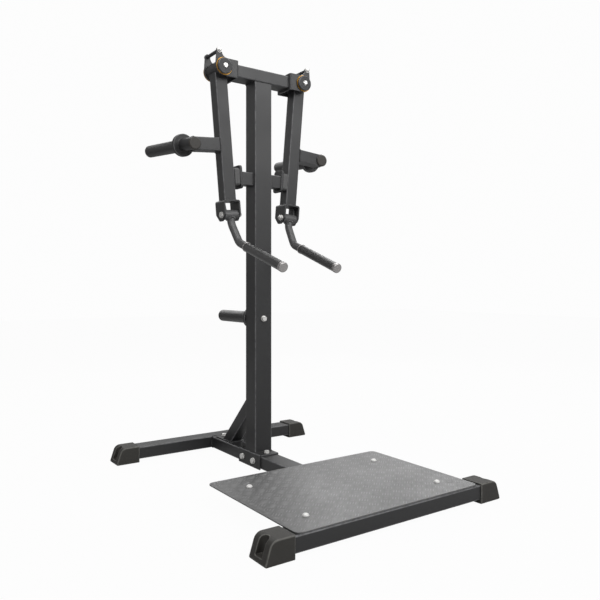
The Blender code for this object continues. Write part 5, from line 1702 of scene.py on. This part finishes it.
class MACHINE_OT_clevises(Operator):
    """Weld a bent clevis under each arm and put the handle's bolt through it"""

    bl_idname = "machine.clevises"
    bl_label = "Clevises"

    def execute(self, context):
        for side, name in SIDE_NAMES.items():
            arm = arm_place(side)
            self.plate(name, arm)
            self.bolt(side, name, arm)
        return {"FINISHED"}

    def plate(self, name, arm):
        """The bent plate's front view carried through its depth, kept only where the cheeks'
        side view is, with a hole for the bolt."""
        top, low = -(ARM_LENGTH + GAP), -CLEVIS_END - TRIM_PAST
        outer, inner = CLEVIS_HALF_WIDTH, CLEVIS_HALF_WIDTH - CLEVIS_PLATE
        corners = [
            (outer, low),
            (outer, top),
            (-outer, top),
            (-outer, low),
            (-inner, low),
            (-inner, top - CLEVIS_PLATE),
            (inner, top - CLEVIS_PLATE),
            (inner, low),
        ]
        radii = [0, CLEVIS_BEND, CLEVIS_BEND, 0, 0, CLEVIS_INNER_BEND, CLEVIS_INNER_BEND, 0]
        bent = rounded(corners, radii, 8)
        deep, cut, high = CLEVIS_HALF_DEPTH, CLEVIS_CHAMFER, top + TRIM_PAST
        cheek = [
            (-deep, -CLEVIS_END + cut),
            (-deep + cut, -CLEVIS_END),
            (deep - cut, -CLEVIS_END),
            (deep, -CLEVIS_END + cut),
            (deep, high),
            (-deep, high),
        ]
        cheeks = slab(rounded(cheek, [CLEVIS_CHEEK_CORNER] * 4 + [0, 0], 6), 2 * CUTTER_REACH, 0)
        bolt = spot((0, HANDLE_PIVOT_Y, -HANDLE_PIVOT_DOWN), AXIS_RIGHT, arm)
        steps = [
            ("INTERSECT", [placed(cheeks, spot((0, 0, 0), DEPTH_ALONG_X, arm))]),
            ("DIFFERENCE", [drill(HANDLE_BOLT_RADIUS + GAP, bolt, 32)]),
        ]
        solid = sheet(bent, 2 * deep + TRIM_PAST, 0, spot((0, 0, 0), DEPTH_ALONG_Y, arm))
        mesh = carved("clevis", [solid], steps, bevel=sizes().rim)
        dress(f"fork_{name}", mesh, "powder_coat", f"{name}_arm", f"clevis_{name}", sharp=50)

    def bolt(self, side, name, arm):
        """The bolt, its domed nut on the machine's inner side and its head on the outer."""
        face = CLEVIS_HALF_WIDTH + GAP
        turn = AXIS_RIGHT if side == LEFT else AXIS_LEFT
        axis = spot((0, HANDLE_PIVOT_Y, -HANDLE_PIVOT_DOWN), turn, arm)
        shells = cap_nut(further(axis, face), CLEVIS_NUT)
        shells += hexagon_bolt(further(axis, -face, back=True), CLEVIS_HEAD, 0.2)
        shells.append(shank(axis, HANDLE_BOLT_RADIUS, -face - SHANK_SINK, face + SHANK_SINK))
        dress(f"fork_bolt_{name}", shells, "zinc", f"{name}_arm", f"clevis_bolt_{name}")


class MACHINE_OT_handles(Operator):
    """Hang the bent handles in the clevises, with their grips and trim"""

    bl_idname = "machine.handles"
    bl_label = "Handles"

    def execute(self, context):
        for side, name in SIDE_NAMES.items():
            pivot = spot((0, HANDLE_PIVOT_Y, -HANDLE_PIVOT_DOWN), (0, 0, 0), arm_place(side))
            self.rod(side, name, pivot)
            turn = (math.pi / 2 + GRIP_SLOPE, 0, 0)
            self.grip(name, spot((0, -GRIP_START[0], -GRIP_START[1]), turn, pivot))
        return {"FINISHED"}

    def rod(self, side, name, pivot):
        """The rod follows straights joined by arcs; the sleeve turns on the bolt."""
        along = np.array([math.cos(GRIP_SLOPE), math.sin(GRIP_SLOPE)])
        knee = np.array(GRIP_START) - along * ROD_KNEE
        end = np.array(GRIP_START) + along * (RING_LENGTH + GRIP_LENGTH + 2 * GAP)
        runs = [np.array(ROD_START[0]), np.array(ROD_START[1]), knee, end]
        first = (runs[1] - runs[0]) / np.linalg.norm(runs[1] - runs[0])
        spots = [[first * reach] for reach, _ in ROD_ROOT]
        for i, bend in enumerate(ROD_BENDS):
            spots.append(corner_arc(runs[i], runs[i + 1], runs[i + 2], bend, 14))
        spots.append([end])
        flat = np.concatenate(spots)
        path = np.column_stack([np.zeros(len(flat)), -flat[:, 0], -flat[:, 1]])
        radii = np.full(len(path), ROD_RADIUS)
        radii[: len(ROD_ROOT)] = [radius for _, radius in ROD_ROOT]
        bar = placed(swept(path, radii, np.array([1.0, 0, 0]), around=40), pivot)
        reach = SLEEVE_HALF_LENGTH
        sleeve = ring_profile(SLEEVE_RADIUS, HANDLE_BOLT_RADIUS + GAP, -reach, reach, THIN_RIM)
        sleeve = lathed(sleeve, spot((0, 0, 0), AXIS_RIGHT, pivot), 72, True)
        around = np.linspace(0, 2 * math.pi, 48, endpoint=False)
        sideways, ahead = ROD_RADIUS * np.cos(around), ROD_RADIUS * np.sin(around)
        out = np.sqrt(SLEEVE_RADIUS**2 - ahead**2)
        down = np.array([0, -first[0], -first[1]])
        level = np.array([0, -first[1], first[0]])
        root = np.outer(sideways, (1, 0, 0)) + np.outer(ahead, level) + np.outer(out, down)
        weld = weld_bead(root, down, pivot, share=1.7)
        lug_top = HANDLE_PIVOT_DOWN - ARM_LENGTH - CLEVIS_PLATE - 2 * GAP
        corners = [LUG_ROOT[0], (0.0, lug_top), (LUG_LENGTH, lug_top), *LUG_ROOT[1:]]
        lug_radii = [LUG_CUT, LUG_TOP_FRONT, LUG_TOP_REAR, LUG_CUT, LUG_CUT, LUG_CUT]
        lug = slab(rounded(corners, lug_radii, 4), LUG_THICKNESS, THIN_RIM)
        lug_x = side * (SLEEVE_HALF_LENGTH - LUG_THICKNESS / 2 - LUG_INSET)
        lug = placed(lug, spot((lug_x, 0, 0), DEPTH_ALONG_X, pivot))
        # The rod and sleeve take the powder coat painted paler, as painted light from above
        dress(f"rod_{name}", [bar, sleeve], "handle_coat", f"{name}_handle", f"handle_rod_{name}")
        dress(f"stop_lug_{name}", [lug], "powder_coat", f"{name}_handle")
        dress(f"rod_welds_{name}", [weld], "handle_coat", f"{name}_handle")

    def grip(self, name, axis):
        """The ring, the soft grip and the end cap, one after another on the rod."""
        body = f"{name}_handle"
        bore = ROD_RADIUS + GAP
        ring = lathed(ring_profile(RING_RADIUS, bore, 0, RING_LENGTH, RING_EDGE), axis, 96, True)
        dress(f"trim_ring_{name}", [ring], "aluminium", body, f"grip_ring_{name}")
        grip = ring_profile(GRIP_RADIUS, bore, 0, GRIP_LENGTH, GRIP_EDGE)
        grip = lathed(grip, further(axis, RING_LENGTH + GAP), 96, True)
        dress(f"soft_grip_{name}", [grip], "grip_rubber", body, f"hand_grip_{name}")
        radius, edge, rear = GRIP_CAP_RADIUS, GRIP_CAP_EDGE, GRIP_CAP_REAR_EDGE
        groove, slope = GRIP_CAP_GROOVE, GRIP_CAP_GROOVE_SLOPE
        deep = radius - GRIP_CAP_GROOVE_DEPTH
        cap = np.concatenate(
            [
                [(POLE, GRIP_CAP_LENGTH)],
                arc((radius - edge, GRIP_CAP_LENGTH - edge), edge, 90, 0, 8),
                [(radius, 2 * groove + slope), (deep, 2 * groove)],
                [(deep, groove), (radius, groove - slope)],
                arc((radius - rear, rear), rear, 0, -90, 3),
                [(POLE, 0)],
            ]
        )
        cap = lathed(cap, further(axis, RING_LENGTH + GRIP_LENGTH + 3 * GAP), 96)
        dress(f"trim_cap_{name}", [cap], "aluminium", body, f"grip_end_cap_{name}")


# Stage


def soft_box(name, power, size, location, aim):
    """An area lamp that points from its place at another."""
    lamp = bpy.data.lights.new(name, "AREA")
    lamp.shape = "RECTANGLE"
    lamp.size, lamp.size_y = size
    lamp.energy = power
    holder = bpy.data.objects.new(name, lamp)
    holder.location = location
    direction = Matrix.Translation(aim).translation - holder.location
    holder.rotation_euler = direction.to_track_quat("-Z", "Y").to_euler()
    holder.visible_camera = False
    bpy.context.scene.collection.objects.link(holder)


class MACHINE_OT_stage(Operator):
    """Set the floor, the lamps, the even light and the camera"""

    bl_idname = "machine.stage"
    bl_label = "Stage"

    def execute(self, context):
        scene = context.scene
        scene.view_settings.view_transform = "Standard"
        self.floor(scene)
        self.sky(scene)
        lights = scene.studio_lights
        for name, (size, place, aim) in LAMPS.items():
            soft_box(name, getattr(lights, name), size, place, aim)
        self.camera(scene)
        return {"FINISHED"}

    def floor(self, scene):
        """A wide sheet that reads as white, and keeps a faint shadow."""
        mesh = bpy.data.meshes.new("floor")
        far = FLOOR_REACH
        corners = [(-far, -far, 0), (far, -far, 0), (far, far, 0), (-far, far, 0)]
        mesh.from_pydata(corners, [], [(0, 1, 2, 3)])
        floor = bpy.data.objects.new("floor", mesh)
        scene.collection.objects.link(floor)
        paper = Finish("paper", 0.9)
        paper.set("Base Color", (FLOOR_TONE, FLOOR_TONE, FLOOR_TONE, 1.0))
        seen = paper.node("ShaderNodeLightPath", {}, {}, "Is Camera Ray")
        mirrored = paper.node("ShaderNodeLightPath", {}, {}, "Is Glossy Ray")
        glow = paper.node("ShaderNodeEmission", {}, {"Color": (1, 1, 1, 1), "Strength": 1.0})
        share = seen * FLOOR_SEEN + mirrored * FLOOR_MIRRORED
        shader = Value(paper.tree, paper.shader.outputs[0])
        mixed = paper.node("ShaderNodeMixShader", {}, {0: share, 1: shader, 2: glow})
        output = paper.tree.nodes["Material Output"]
        paper.feed(output.inputs["Surface"], mixed)
        mesh.materials.append(paper.material)

    def sky(self, scene):
        """Even light all round, which the camera sees as white."""
        world = bpy.data.worlds.new("studio")
        world.use_nodes = True
        scene.world = world
        tree = world.node_tree
        background = tree.nodes["Background"]
        background.inputs["Color"].default_value = (1, 1, 1, 1)
        path = tree.nodes.new("ShaderNodeLightPath")
        seen = Value(tree, path.outputs["Is Camera Ray"])
        mirrored = Value(tree, path.outputs["Is Glossy Ray"])
        base, mirror = scene.studio_lights.sky, scene.studio_lights.mirror
        strength = seen * (BACKDROP - base) + mirrored * (mirror - base) + base
        tree.links.new(strength.socket, background.inputs["Strength"])

    def camera(self, scene):
        """Level, at the height and distance of the photograph's camera."""
        lens = bpy.data.cameras.new("camera")
        lens.sensor_width = CAMERA_SENSOR
        lens.lens = CAMERA_LENS
        lens.shift_x, lens.shift_y = CAMERA_SHIFT
        lens.clip_end = CAMERA_CLIP
        camera = bpy.data.objects.new("camera", lens)
        camera.location = CAMERA_PLACE
        camera.rotation_euler = (math.pi / 2, 0, -CAMERA_HEADING)
        scene.collection.objects.link(camera)
        scene.camera = camera


class MACHINE_PT_panel(Panel):
    """The steps that build the machine, in order"""

    bl_idname = "MACHINE_PT_panel"
    bl_label = "Lateral raise machine"
    bl_space_type = "VIEW_3D"
    bl_region_type = "UI"
    bl_category = "Machine"

    def draw(self, context):
        for step in STEPS:
            self.layout.operator(step.bl_idname)
        for group in ("machine_sizes", "machine_colours", "studio_lights"):
            values = getattr(context.scene, group)
            for name in values.bl_rna.properties.keys():
                if name not in ("rna_type", "name"):
                    self.layout.prop(values, name)


STEPS = (
    MACHINE_OT_stage,
    MACHINE_OT_base_frame,
    MACHINE_OT_feet,
    MACHINE_OT_platform,
    MACHINE_OT_post,
    MACHINE_OT_brace,
    MACHINE_OT_storage_horn,
    MACHINE_OT_top,
    MACHINE_OT_stop_bar,
    MACHINE_OT_arms,
    MACHINE_OT_weight_horns,
    MACHINE_OT_clevises,
    MACHINE_OT_handles,
)
GROUPS = {
    "machine_sizes": MachineSizes,
    "machine_colours": MachineColours,
    "studio_lights": StudioLights,
}


def register():
    for part in (*GROUPS.values(), *STEPS, MACHINE_PT_panel):
        bpy.utils.register_class(part)
    for name, group in GROUPS.items():
        setattr(bpy.types.Scene, name, PointerProperty(type=group))


def unregister():
    for name in GROUPS:
        delattr(bpy.types.Scene, name)
    for part in (MACHINE_PT_panel, *reversed(STEPS), *GROUPS.values()):
        bpy.utils.unregister_class(part)


def main():
    register()
    for step in STEPS:
        group, name = step.bl_idname.split(".")
        getattr(getattr(bpy.ops, group), name)()


if __name__ == "__main__":
    main()
